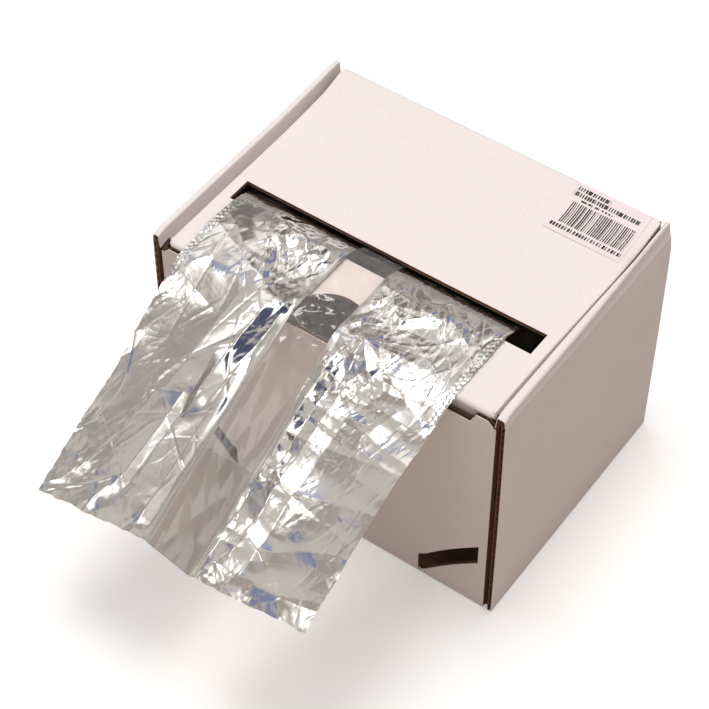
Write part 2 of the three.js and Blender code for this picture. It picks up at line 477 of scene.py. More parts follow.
def paper_effect() -> Tree:
    """The look that every board and paper shares: mottle, specks, fibre and the flutes' washboard.

    Returns:
        The node group.
    """
    mottle_rise, fibre_rise, flute_rise = 0.0002, 0.00003, 0.000012
    effect = Effect(
        "paper_face",
        {"Flute Pitch": 3.3 * MM, "Washboard": 1.0, "Speck Share": 0.06, "Grain Scale": 900.0},
        ("Mottle", "Specks", "Fibre", "Height"),
    )
    r, given = effect.recipe, effect.given
    mottle = r.noise(given["Place"], 38.0, 4.0)
    fine = r.noise(given["Place"], 260.0, 3.0)
    effect.put("Mottle", r.math("MULTIPLY_ADD", fine, 0.35, r.math("MULTIPLY", mottle, 0.65)))
    cells = r.node("TexVoronoi", {"Vector": given["Place"], "Scale": 1150.0, "Randomness": 1.0})
    grains = r.node("TexWhiteNoise", {"Vector": cells.outputs["Position"]}, noise_dimensions="3D")
    chosen = r.math("LESS_THAN", grains.outputs["Value"], given["Speck Share"])
    core = r.ramp(cells.outputs["Distance"], 0.18, 0.34, 1.0, 0.0)
    effect.put("Specks", r.math("MULTIPLY", chosen, core))
    stretched = r.node("Mapping", {"Vector": given["Place"], "Scale": (0.35, 1.0, 1.0)})
    fibre = r.noise(stretched.outputs[0], given["Grain Scale"], 4.0)
    effect.put("Fibre", fibre)
    turns = r.math("DIVIDE", r.axis(given["Place"], "X"), given["Flute Pitch"])
    wave = r.math("SINE", r.math("MULTIPLY", turns, math.tau))
    wash = r.math("MULTIPLY", r.math("MULTIPLY", wave, given["Washboard"]), flute_rise)
    rough = r.math("MULTIPLY_ADD", fibre, fibre_rise, wash)
    effect.put("Height", r.math("MULTIPLY_ADD", mottle, mottle_rise, rough))
    return effect.tree


def foil_effect() -> Tree:
    """Fine hammered creases and dulled patches of thin metal foil.

    Returns:
        The node group.
    """
    large_rise, small_rise, ground_rise, drift_length = 0.00035, 0.00008, 0.00002, 0.012
    effect = Effect("foil_face", {"Crease Scale": 420.0, "Crease Depth": 1.0}, ("Dulling", "Height"))
    r, given = effect.recipe, effect.given
    drift = r.node("TexNoise", {"Vector": given["Place"], "Scale": 60.0, "Detail": 2.0})
    moved = r.node("VectorMath", {0: drift.outputs["Color"]}, operation="SCALE")
    moved.inputs["Scale"].default_value = drift_length
    place = r.node("VectorMath", {0: given["Place"], 1: moved.outputs[0]}, operation="ADD").outputs[0]
    creases = r.node("TexVoronoi", {"Vector": place, "Scale": given["Crease Scale"]}, feature="F1")
    closer = r.math("MULTIPLY", given["Crease Scale"], 2.7)
    smaller = r.node("TexVoronoi", {"Vector": place, "Scale": closer})
    ground = r.noise(given["Place"], 900.0, 2.0)
    patches = r.noise(given["Place"], 34.0, 3.0)
    large = r.math("MULTIPLY", creases.outputs["Distance"], large_rise)
    both = r.math("MULTIPLY_ADD", smaller.outputs["Distance"], small_rise, large)
    total = r.math("MULTIPLY_ADD", ground, ground_rise, both)
    fading = r.ramp(patches, 0.35, 0.65, 0.15, 1.0)
    depth = r.math("MULTIPLY", fading, given["Crease Depth"])
    effect.put("Height", r.math("MULTIPLY", total, depth))
    effect.put("Dulling", r.noise(given["Place"], 75.0, 4.0))
    return effect.tree


class Finish:
    """A material with its tree, its shader and a way to place shared effects."""

    def __init__(self, name: str, **shader: object) -> None:
        """Starts a material.

        Args:
            name: the material's name.
            shader: plain values for the shader's sockets, with spaces written as underscores.
        """
        self.material = bpy.data.materials.new(name)
        self.material.use_nodes = True
        self.recipe = Recipe(self.material.node_tree)
        self.shader = self.material.node_tree.nodes["Principled BSDF"]
        self.output = self.material.node_tree.nodes["Material Output"]
        self.object_place = self.recipe.node("TexCoord").outputs["Object"]
        self.uv_place = self.recipe.node("UVMap").outputs["UV"]
        for key, value in shader.items():
            self.shader.inputs[key.replace("_", " ")].default_value = value

    def set(self, name: str, value: object) -> None:
        """Feeds one socket of the shader."""
        self.recipe.feed(self.shader.inputs[name], value)

    def effect(self, tree: Tree, place: object, **values: float) -> Socket:
        """Places a shared effect.

        Args:
            tree: the effect's node group.
            place: the coordinates that it reads.
            values: this material's own values, with spaces in their names written as underscores.

        Returns:
            The effect's outputs.
        """
        made = self.recipe.node("Group", node_tree=tree)
        self.recipe.feed(made.inputs["Place"], place)
        for key, value in values.items():
            self.recipe.feed(made.inputs[key.replace("_", " ")], value)
        return made.outputs

    def relief(self, height: object, strength: float = 1.0) -> None:
        """Bumps the surface by a height in metres."""
        bump = self.recipe.node("Bump", {"Height": height, "Strength": strength, "Distance": 1.0})
        self.set("Normal", bump.outputs[0])


@dataclass(frozen=True)
class BoardFinish:
    """A paper face: its two tones, its specks and how rough it is."""

    name: str
    light: Colour
    dark: Colour
    speck: Colour
    roughness: float = 0.72
    specks: float = 0.03
    washboard: float = 1.0
    turned: Way = (0.0, 0.0, 0.0)

    def make(self, paper: Tree) -> Material:
        """Builds the material.

        Args:
            paper: the effect that every paper shares.

        Returns:
            The material.
        """
        finish = Finish(self.name, Specular_IOR_Level=0.25)
        r = finish.recipe
        place = r.node("Mapping", {"Vector": finish.object_place, "Rotation": self.turned})
        out = finish.effect(paper, place.outputs[0], Washboard=self.washboard, Speck_Share=self.specks)
        tone = r.ramp(out["Mottle"], 0.3, 0.7)
        ground = r.mix(tone, self.light, self.dark)
        fibred = r.mix(r.ramp(out["Fibre"], 0.62, 0.8, 0.0, 0.22), ground, self.dark)
        finish.set("Base Color", r.mix(r.math("MULTIPLY", out["Specks"], 0.4), fibred, self.speck))
        finish.set("Roughness", r.ramp(out["Fibre"], 0.2, 0.8, self.roughness - 0.08, self.roughness + 0.1))
        finish.relief(out["Height"])
        return finish.material


@dataclass(frozen=True)
class FoilFinish:
    """Bright aluminium foil."""

    name: str
    colour: Colour = (0.915, 0.905, 0.89)
    smoothest: float = 0.13
    dullest: float = 0.24
    crease_scale: float = 420.0
    crease_depth: float = 0.2

    def make(self, foil: Tree) -> Material:
        """Builds the material.

        Args:
            foil: the effect that foils share.

        Returns:
            The material.
        """
        finish = Finish(self.name, Metallic=1.0)
        r = finish.recipe
        out = finish.effect(
            foil, finish.object_place, Crease_Scale=self.crease_scale, Crease_Depth=self.crease_depth
        )
        darker = tuple(0.93 * c for c in self.colour)
        finish.set("Base Color", r.mix(r.ramp(out["Dulling"], 0.35, 0.7), self.colour, darker))
        finish.set("Roughness", r.ramp(out["Dulling"], 0.35, 0.7, self.smoothest, self.dullest))
        finish.relief(out["Height"])
        return finish.material


@dataclass(frozen=True)
class WindingFinish:
    """Foil or film wound up: fine rings of edges on the ends, and a dull sheen on the face."""

    name: str
    colour: Colour
    metallic: float
    roughness: float

    def make(self, foil: Tree) -> Material:
        """Builds the material, with rings round the roll's own axis.

        Args:
            foil: the effect that foils share.

        Returns:
            The material.
        """
        finish = Finish(self.name, Metallic=self.metallic)
        r = finish.recipe
        out = finish.effect(foil, finish.object_place, Crease_Scale=160.0, Crease_Depth=0.5)
        axis = (0.0, -Roll.y * MM, -Roll.z * MM)
        centred = r.node("Mapping", {"Vector": finish.object_place, "Location": axis}).outputs[0]
        squares = [r.math("POWER", r.axis(centred, letter), 2.0) for letter in "YZ"]
        radius = r.math("POWER", r.math("ADD", *squares), 0.5)
        layers = r.node("TexNoise", {"W": radius, "Scale": 3600.0, "Detail": 3.0}, noise_dimensions="1D")
        dark = tuple(0.45 * c for c in self.colour)
        finish.set("Base Color", r.mix(r.ramp(layers.outputs[0], 0.35, 0.65), self.colour, dark))
        finish.set("Roughness", r.ramp(out["Dulling"], 0.3, 0.7, self.roughness, self.roughness + 0.15))
        ringed = r.math("MULTIPLY_ADD", layers.outputs[0], 0.00008, out["Height"])
        finish.relief(ringed)
        return finish.material


@dataclass(frozen=True)
class FilmFinish:
    """Clear thin plastic film with faint drag marks along its length.

    It is tinted darker where it lies high up, on the lid, over a range of heights in metres.
    """

    name: str
    tint: Colour = (0.985, 0.975, 0.96)
    lid_tint: Colour = (0.87, 0.85, 0.835)
    lid_heights: Point = (0.086, 0.092)

    def make(self) -> Material:
        """Builds the material. Light that only passes through to make a shadow isn't stopped.

        Returns:
            The material.
        """
        finish = Finish(self.name, Transmission_Weight=0.94, IOR=1.42, Roughness=0.05)
        r = finish.recipe
        drawn = r.node("Mapping", {"Vector": finish.object_place, "Scale": (9.0, 1.0, 1.0)})
        marks = r.noise(drawn.outputs[0], 60.0, 3.0)
        cloud = r.noise(finish.object_place, 45.0, 3.0)
        level = r.axis(finish.object_place, "Z")
        # The tint darkens by height alone, where the film lies on the lid.
        tint = r.mix(r.ramp(level, *self.lid_heights), self.tint, self.lid_tint)
        finish.set("Base Color", r.mix(r.ramp(cloud, 0.35, 0.7, 0.0, 0.05), tint, (0.0, 0.0, 0.0)))
        finish.set("Roughness", r.ramp(marks, 0.45, 0.8, 0.03, 0.14))
        finish.relief(r.math("MULTIPLY", cloud, 0.0006), 0.6)
        clear = r.node("BsdfTransparent", {"Color": (0.93, 0.92, 0.9, 1.0)})
        share = r.node("LightPath").outputs["Is Shadow Ray"]
        mixed = r.node("MixShader", {0: share, 1: finish.shader.outputs[0], 2: clear.outputs[0]})
        r.feed(finish.output.inputs["Surface"], mixed.outputs[0])
        return finish.material


@dataclass(frozen=True)
class LabelFinish:
    """Label paper with plain bars and rows of dashes, none of which can be read."""

    name: str
    paper_tone: Colour
    ink: Colour = (0.02, 0.02, 0.025)

    def make(self, paper: Tree) -> Material:
        """Builds the material. The print follows the label's own UV map.

        Args:
            paper: the effect that every paper shares.

        Returns:
            The material.
        """
        finish = Finish(self.name, Roughness=0.5, Specular_IOR_Level=0.35)
        r = finish.recipe
        out = finish.effect(paper, finish.object_place, Washboard=0.0, Speck_Share=0.01)
        u, v = r.axis(finish.uv_place, "X"), r.axis(finish.uv_place, "Y")
        printed = None
        # Each row's left, right, low and high edges, its bars, their usual width and their shift.
        rows = (
            (0.10, 0.95, 0.21, 0.65, 38.0, 0.55, 205.0),
            (0.17, 0.60, 0.685, 0.72, 22.0, 0.7, 11.0),
            (0.05, 0.92, 0.75, 0.825, 31.0, 0.75, 23.0),
            (0.05, 0.49, 0.85, 0.925, 31.0, 0.75, 37.0),
            (0.03, 0.97, 0.09, 0.165, 26.0, 0.6, 83.0),
        )
        for left, right, low, high, count, share, shift in rows:
            place = r.math("MULTIPLY_ADD", u, count, shift)
            cell = r.math("FLOOR", place)
            chance = r.node("TexWhiteNoise", {"W": cell}, noise_dimensions="1D").outputs["Value"]
            width = r.ramp(chance, 0.0, 1.0, 0.45 * share, 1.45 * share)
            bars = r.math("LESS_THAN", r.math("FRACT", place), width)
            window = r.math(
                "MULTIPLY",
                r.math("MULTIPLY", r.math("GREATER_THAN", u, left), r.math("LESS_THAN", u, right)),
                r.math("MULTIPLY", r.math("GREATER_THAN", v, low), r.math("LESS_THAN", v, high)),
            )
            row = r.math("MULTIPLY", bars, window)
            printed = row if printed is None else r.math("MAXIMUM", printed, row)
        worn = r.math("MULTIPLY", printed, r.ramp(out["Fibre"], 0.25, 0.45, 0.75, 1.0))
        darker = tuple(0.95 * c for c in self.paper_tone)
        ground = r.mix(r.ramp(out["Mottle"], 0.3, 0.7), self.paper_tone, darker)
        finish.set("Base Color", r.mix(worn, ground, self.ink))
        finish.relief(out["Height"], 0.6)
        return finish.material


class Finishes:
    """Every material of the box, each made once."""

    def __init__(self) -> None:
        """Makes the shared effects and the materials."""
        paper, foil = paper_effect(), foil_effect()
        white = ((0.885, 0.815, 0.80), (0.865, 0.79, 0.77), (0.50, 0.40, 0.36))
        kraft = ((0.28, 0.155, 0.09), (0.19, 0.10, 0.055), (0.08, 0.04, 0.025))
        self.lid = BoardFinish("white_board_lid", *white).make(paper)
        self.face = BoardFinish("white_board_face", *white, washboard=0.8).make(paper)
        self.side = BoardFinish(
            "white_board_side", *white, washboard=0.8, turned=(0.0, math.pi / 2, 0.0)
        ).make(paper)
        self.kraft = BoardFinish("kraft_liner", *kraft, roughness=0.85, specks=0.16).make(paper)
        # Fluting paper. It also faces the dust flaps' outside, as painted shade in the corner gaps.
        self.fluting_and_gap_shade = BoardFinish(
            "fluting_and_gap_shade_paper", (0.22, 0.10, 0.06), (0.14, 0.06, 0.035), (0.06, 0.03, 0.02), 0.9, 0.12, 0.0
        ).make(paper)
        self.core = BoardFinish(
            "core_board", (0.40, 0.27, 0.16), (0.31, 0.19, 0.105), (0.12, 0.07, 0.04), 0.85, 0.14, 0.0
        ).make(paper)
        self.label = LabelFinish("label_paper", (0.90, 0.80, 0.80)).make(paper)
        self.foil = FoilFinish("aluminium_foil").make(foil)
        self.foil_roll = WindingFinish("wound_foil", (0.86, 0.85, 0.83), 1.0, 0.24).make(foil)
        self.film_roll = WindingFinish("wound_film", (0.62, 0.61, 0.58), 0.0, 0.22).make(foil)
        self.film = FilmFinish("clear_film").make()


# ---------------------------------------------------------------- board


@dataclass(frozen=True)
class Board:
    """Corrugated board laid along a line, with two liners and the wavy paper between them.

    The line is the board's outer face. The outside is on the line's left, or where outward is -1 on
    its right.
    """

    name: str
    line: Line
    low: float
    high: float
    plane: Plane
    thickness: Sequence[float] = (1.5, 1.5)
    outward: int = 1
    rows: int = 12
    liner: float = 0.22
    fluting: float = 0.16
    glue_gap: float = 0.02
    pitch: float = 3.3

    def _depth(self, distance: np.ndarray) -> np.ndarray:
        """The board's own thickness, which can change along the line.

        Args:
            distance: how far along the line each place is.

        Returns:
            The thickness at each place.
        """
        stations = np.linspace(0, self.line.length, len(self.thickness))
        return np.interp(distance, stations, self.thickness)

    def _layer(
        self, part: str, distances: np.ndarray, inset: Depths, thickness: float, material: Material
    ) -> Piece:
        """One of the papers of the board.

        Args:
            part: the layer's name.
            distances: where its points are along the line.
            inset: how deep its middle surface lies under the outer face.
            thickness: the paper's own thickness.
            material: its finish.

        Returns:
            The closed, thin solid.
        """
        columns = len(distances) - 1

        def place(first: np.ndarray, second: np.ndarray) -> np.ndarray:
            """Lays the grid on the layer's middle surface.

            Args:
                first: each point's share of the columns.
                second: each point's share of the board's width.

            Returns:
                The points' places.
            """
            distance = distances[np.rint(first * columns).astype(int)]
            across, up = self.line.at(distance, -self.outward * inset(distance))
            return self.plane.place(across, up, self.low + (self.high - self.low) * second)

        return Bench.skin(f"{self.name}_{part}", columns, self.rows, place, thickness, material)

    def build(
        self, finishes: Finishes, outside: Material, cutters: Iterable[Piece] = (),
        warp: Warp | None = None,
    ) -> Piece:
        """Makes the board.

        Args:
            finishes: the box's materials.
            outside: the finish of the outer liner.
            cutters: solids that are taken out of it.
            warp: moves the finished board's points.

        Returns:
            The finished piece.
        """
        per_flute = 8
        sparse = self.line.lengths
        count = max(per_flute, round(self.line.length / self.pitch) * per_flute)
        dense = np.linspace(0, self.line.length, count + 1)
        half = self.liner / 2

        def wavy(distance: np.ndarray) -> np.ndarray:
            """The fluting's depth, between the two liners.

            Args:
                distance: how far along the line each place is.

            Returns:
                How deep under the outer face the fluting lies.
            """
            depth = self._depth(distance)
            swing = (depth - 2 * self.liner - self.fluting) / 2 - self.glue_gap
            return depth / 2 + swing * np.sin(distance / self.pitch * math.tau)

        layers = [
            self._layer("outer", sparse, lambda d: np.full(len(d), half), self.liner, outside),
            self._layer("inner", sparse, lambda d: self._depth(d) - half, self.liner, finishes.kraft),
            self._layer("fluting", dense, wavy, self.fluting, finishes.fluting_and_gap_shade),
        ]
        Bench.cut(layers, cutters)
        piece = Bench.join(layers, self.name)
        if warp:
            Bench.move(piece, warp(Bench.points(piece)))
        Bench.soften(piece)
        return piece


@dataclass(frozen=True)
class Crease:
    """A folded strip of crushed board between two bodies, laid along a line as a board is."""

    name: str
    line: Line
    plane: Plane
    low: float
    high: float
    thickness: float = 1.0
    outward: int = 1
    rows: int = 40

    def build(self, outside: Material, warp: Warp | None = None) -> Piece:
        """Makes the strip as one closed solid.

        Args:
            outside: its finish.
            warp: moves its finished points.

        Returns:
            The finished piece.
        """
        columns = len(self.line.lengths) - 1

        def place(first: np.ndarray, second: np.ndarray) -> np.ndarray:
            """Lays the grid half the thickness under the outer face.

            Args:
                first: each point's share of the columns.
                second: each point's share of the strip's width.

            Returns:
                The points' places.
            """
            distance = self.line.lengths[np.rint(first * columns).astype(int)]
            across, up = self.line.at(distance, -self.outward * self.thickness / 2)
            return self.plane.place(across, up, self.low + (self.high - self.low) * second)

        piece = Bench.skin(self.name, columns, self.rows, place, self.thickness, outside)
        if warp:
            Bench.move(piece, warp(Bench.points(piece)))
        Bench.soften(piece, 50.0)
        return piece


def left_lift(x: np.ndarray) -> np.ndarray:
    """How much higher the lid lies at its back left than at its back right."""
    return 0.9 - 0.008 * x


def lid_rise(x: np.ndarray, y: np.ndarray) -> np.ndarray:
    """How far the lid lifts towards its back crease, most of all at the back left."""
    return 2.0 * smooth(y, 33.0, 46.0) + left_lift(x) * smooth(y, 10.0, 45.0)


@dataclass
class Maker:
    """A sub-assembly, which makes its pieces with the finishes and keeps them."""

    finishes: Finishes
    pieces: list[Piece] = field(default_factory=list)

    def keep(self, piece: Piece, slot: str, *nodes: str) -> None:
        """Adds a piece to the sub-assembly.

        Args:
            piece: the finished piece.
            slot: the slot of its finish; not used.
            nodes: the CAD nodes that it stands for.
        """
        if nodes:
            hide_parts(*nodes)
        self.pieces.append(piece)


@dataclass
class Carton(Maker):
    """The open carton: base, front and back, dust flaps and the rolled side walls."""

    half_width: float = 64.5
    half_depth: float = 47.5
    height: float = 96.0
    panel_half: float = 61.3
    base_half: Point = (62.1, 45.95)
    tab_slot_x: Point = (60.1, 61.7)
    tab_slot_y: Point = (13.7, 32.3)
    back_height: float = 91.4
    front_height: float = 92.0
    front_ends: float = 91.3
    front_middle: float = 87.2
    diagonal_start: float = 36.4
    diagonal_run: float = 22.0
    diagonal_height: float = 8.6
    dust_x: float = 62.7
    dust_y: Point = (43.6, 20.5)
    wall_inner: float = 60.4
    spine_radius: float = 1.1

    def _put(self, piece: Piece, *nodes: str) -> None:
        """Puts a board on the carton in place of its CAD nodes."""
        self.keep(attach(piece, "carton"), "white_board", *nodes)

    def base(self) -> None:
        """The base, with the slots that the inner walls' tabs drop into."""
        half_width, half_depth = self.base_half
        cutters = []
        for side in (-1, 1):
            for end in (-1, 1):
                left, right = sorted(side * x for x in self.tab_slot_x)
                front, back = sorted(end * y for y in self.tab_slot_y)
                outline = [(left, front), (right, front), (right, back), (left, back)]
                cutters.append(Bench.prism(outline, Plane.LEVEL, -1.0, 3.0))
        line = Line(straight((-half_width, 0.0), (half_width, 0.0)))
        board = Board("base_board", line, -half_depth, half_depth, Plane.UPRIGHT, outward=-1)
        self._put(board.build(self.finishes, self.finishes.lid, cutters), "base_panel")

    def front(self) -> None:
        """The front, with its stepped top edge and the two diagonal slots."""
        ends, middle = self.front_ends, self.front_middle
        top = [(-70.0, 100.0), (-70.0, ends - 2.0), (-60.5, ends - 2.0), (-58.5, ends)]
        top += [(-54.4, ends), (-52.3, middle)]
        top += [(-x, z) for x, z in reversed(top)]
        outlines = (top, self._diagonal(-1), self._diagonal(1))
        cutters = [Bench.prism(outline, Plane.UPRIGHT, -50.0, -44.0) for outline in outlines]
        line = Line(straight((-self.panel_half, -self.half_depth), (self.panel_half, -self.half_depth)))
        board = Board("front_board", line, 0.0, self.front_height, Plane.LEVEL, outward=-1, rows=16)
        self._put(board.build(self.finishes, self.finishes.face, cutters, self._front_bow), "front_panel")

    def _diagonal(self, side: int) -> list[Point]:
        """Draws a diagonal slot, with its long edges gently arched and its foot just over the floor.

        Args:
            side: -1 for the left slot and 1 for the right one.

        Returns:
            The slot's outline.
        """
        lower = []
        for share in np.linspace(0, 1, 9):
            run = self.diagonal_run * share
            lower.append((self.diagonal_start + run, max(0.5, -0.6 + run + math.sin(math.pi * share))))
        upper = [(x, z + self.diagonal_height) for x, z in reversed(lower)]
        return [(side * x, z) for x, z in lower + upper]

    def _front_bow(self, rows: np.ndarray) -> np.ndarray:
        """Lets the front belly out a little in its middle.

        Args:
            rows: the front's points.

        Returns:
            The points, moved.
        """
        belly, half = 0.5, 61.0
        across = np.cos(np.clip(rows[:, 0] / half, -1, 1) * math.pi / 2)
        rows[:, 1] -= belly * across * np.sin(rows[:, 2] / self.front_height * math.pi)
        return rows

    def back(self) -> None:
        """The back, up to the lid's crease."""
        line = Line(straight((-self.panel_half, self.half_depth), (self.panel_half, self.half_depth)))
        board = Board("back_board", line, 0.0, self.back_height, Plane.LEVEL, rows=14)
        self._put(board.build(self.finishes, self.finishes.face), "back_panel")

    def dust_flaps(self) -> None:
        """The four flaps that turn the corners and run back inside the side walls."""
        for end, depth_name in ((-1, "front"), (1, "back")):
            for side, side_name in ((-1, "left"), (1, "right")):
                corner = f"{depth_name}_{side_name}"
                turn = [(side * x, end * y) for x, y in bend((60.4, 46.6), 0.9, 90, 0)]
                near, far = ((side * self.dust_x, end * y) for y in self.dust_y)
                board = Board(
                    f"{corner}_dust_board", Line(turn, straight(near, far, 4.0)), 0.2, 90.0, Plane.LEVEL,
                    (1.0, 1.0), outward=side * end,
                )
                # The flap's outside is the dark fluting paper: painted shade for the narrow gap between the
                # front and the wall.
                self._put(board.build(self.finishes, self.finishes.fluting_and_gap_shade), f"{corner}_dust_flap")

    def side_walls(self) -> None:
        """Each side wall: up outside, over the narrow spine, and down inside to its tabs."""
        for side, name in ((-1, "left"), (1, "right")):
            outer, inner, top, turn = self.half_width, self.wall_inner, self.height, self.spine_radius
            parts = [
                straight((outer, 0.0), (outer, 86.0), 6.0),
                straight((outer, 86.0), (outer, top - turn), 0.5),
                bend((outer - turn, top - turn), turn, 0, 90),
                bend((61.9, top - 0.6), 0.6, 90, 180, 18.0),
                straight((61.3, top - 0.7), (61.0, 92.0), 1.0),
                straight((60.9, 91.5), (inner, 86.0), 2.0),
                straight((inner, 86.0), (inner, 0.3), 6.0),
            ]
            line = Line(*([(side * x, z) for x, z in part] for part in parts))
            board = Board(
                f"{name}_side_wall", line, -self.half_depth, self.half_depth, Plane.UPRIGHT,
                (1.5,) * 45 + (1.3, 1.0) + (1.0,) * 43, outward=-side, rows=24,
            )
            piece = board.build(
                self.finishes, self.finishes.side, self._wall_cutters(side), self._wall_warp(side)
            )
            self._put(piece, f"{name}_outer_wall", f"{name}_inner_wall", f"{name}_wall_spine")

    @staticmethod
    def _wall_cutters(side: int) -> list[Piece]:
        """Makes what is cut from a side wall's inner ply: its ends, and the spaces between its tabs.

        Args:
            side: -1 for the left wall and 1 for the right one.

        Returns:
            The cutters.
        """
        ends = [(side * x, z) for x, z in ((57.0, -1.0), (62.4, -1.0), (62.4, 91.2), (57.0, 91.2))]
        feet = [(side * x, z) for x, z in ((59.0, -1.0), (62.2, -1.0), (62.2, 1.8), (59.0, 1.8))]
        cuts = (
            (ends, 43.0, 49.0), (ends, -49.0, -43.0),
            (feet, -44.0, -32.0), (feet, -14.0, 14.0), (feet, 32.0, 44.0),
        )
        return [Bench.prism(outline, Plane.UPRIGHT, low, high) for outline, low, high in cuts]

    @staticmethod
    def _wall_warp(side: int) -> Warp:
        """Says how a side wall is bent out of true.

        The outer ply bows out a little, and a second crease near its top folds it in. At the back the
        right wall leans in and the left wall stands higher, and the front corner is pressed down.

        Args:
            side: -1 for the left wall and 1 for the right one.

        Returns:
            What moves the wall's points.
        """

        def warp(rows: np.ndarray) -> np.ndarray:
            """Moves the wall's points.

            Args:
                rows: the wall's points.

            Returns:
                The points, moved.
            """
            x, y, z = np.abs(rows[:, 0]), rows[:, 1], rows[:, 2]
            outer = smooth(x, 61.8, 62.9)
            bow = 0.9 * np.sin(np.clip(z / 93.0, 0, 1) * math.pi) * (0.6 + 0.4 * np.cos(y / 47.5 * math.pi))
            crease = 92.6 - 2.6 * (y + 47.5) / 95.0
            dent = 0.16 * np.exp(-(((z - crease) / 0.5) ** 2))
            fold = 0.17 * np.clip(z - crease, 0.0, 94.0 - crease) - dent
            rows[:, 0] = side * (x + outer * (bow - (fold if side > 0 else 0.4 * fold)))
            high = smooth(z, 84.0, 93.0)
            if side > 0:
                rows[:, 0] += (0.9 - 1.7 * outer) * smooth(y, -15.0, 47.0) * high
            else:
                rows[:, 2] += 1.3 * smooth(y, 15.0, 47.5) * high
                rows[:, 0] -= 0.8 * (1 - outer) * high
            rows[:, 2] -= 1.0 * smooth(-y, 46.2, 47.5) * high
            return rows

        return warp

    def build(self) -> list[Piece]:
        """Makes every board of the carton.

        Returns:
            The pieces.
        """
        self.base()
        self.front()
        self.back()
        self.dust_flaps()
        self.side_walls()
        return self.pieces


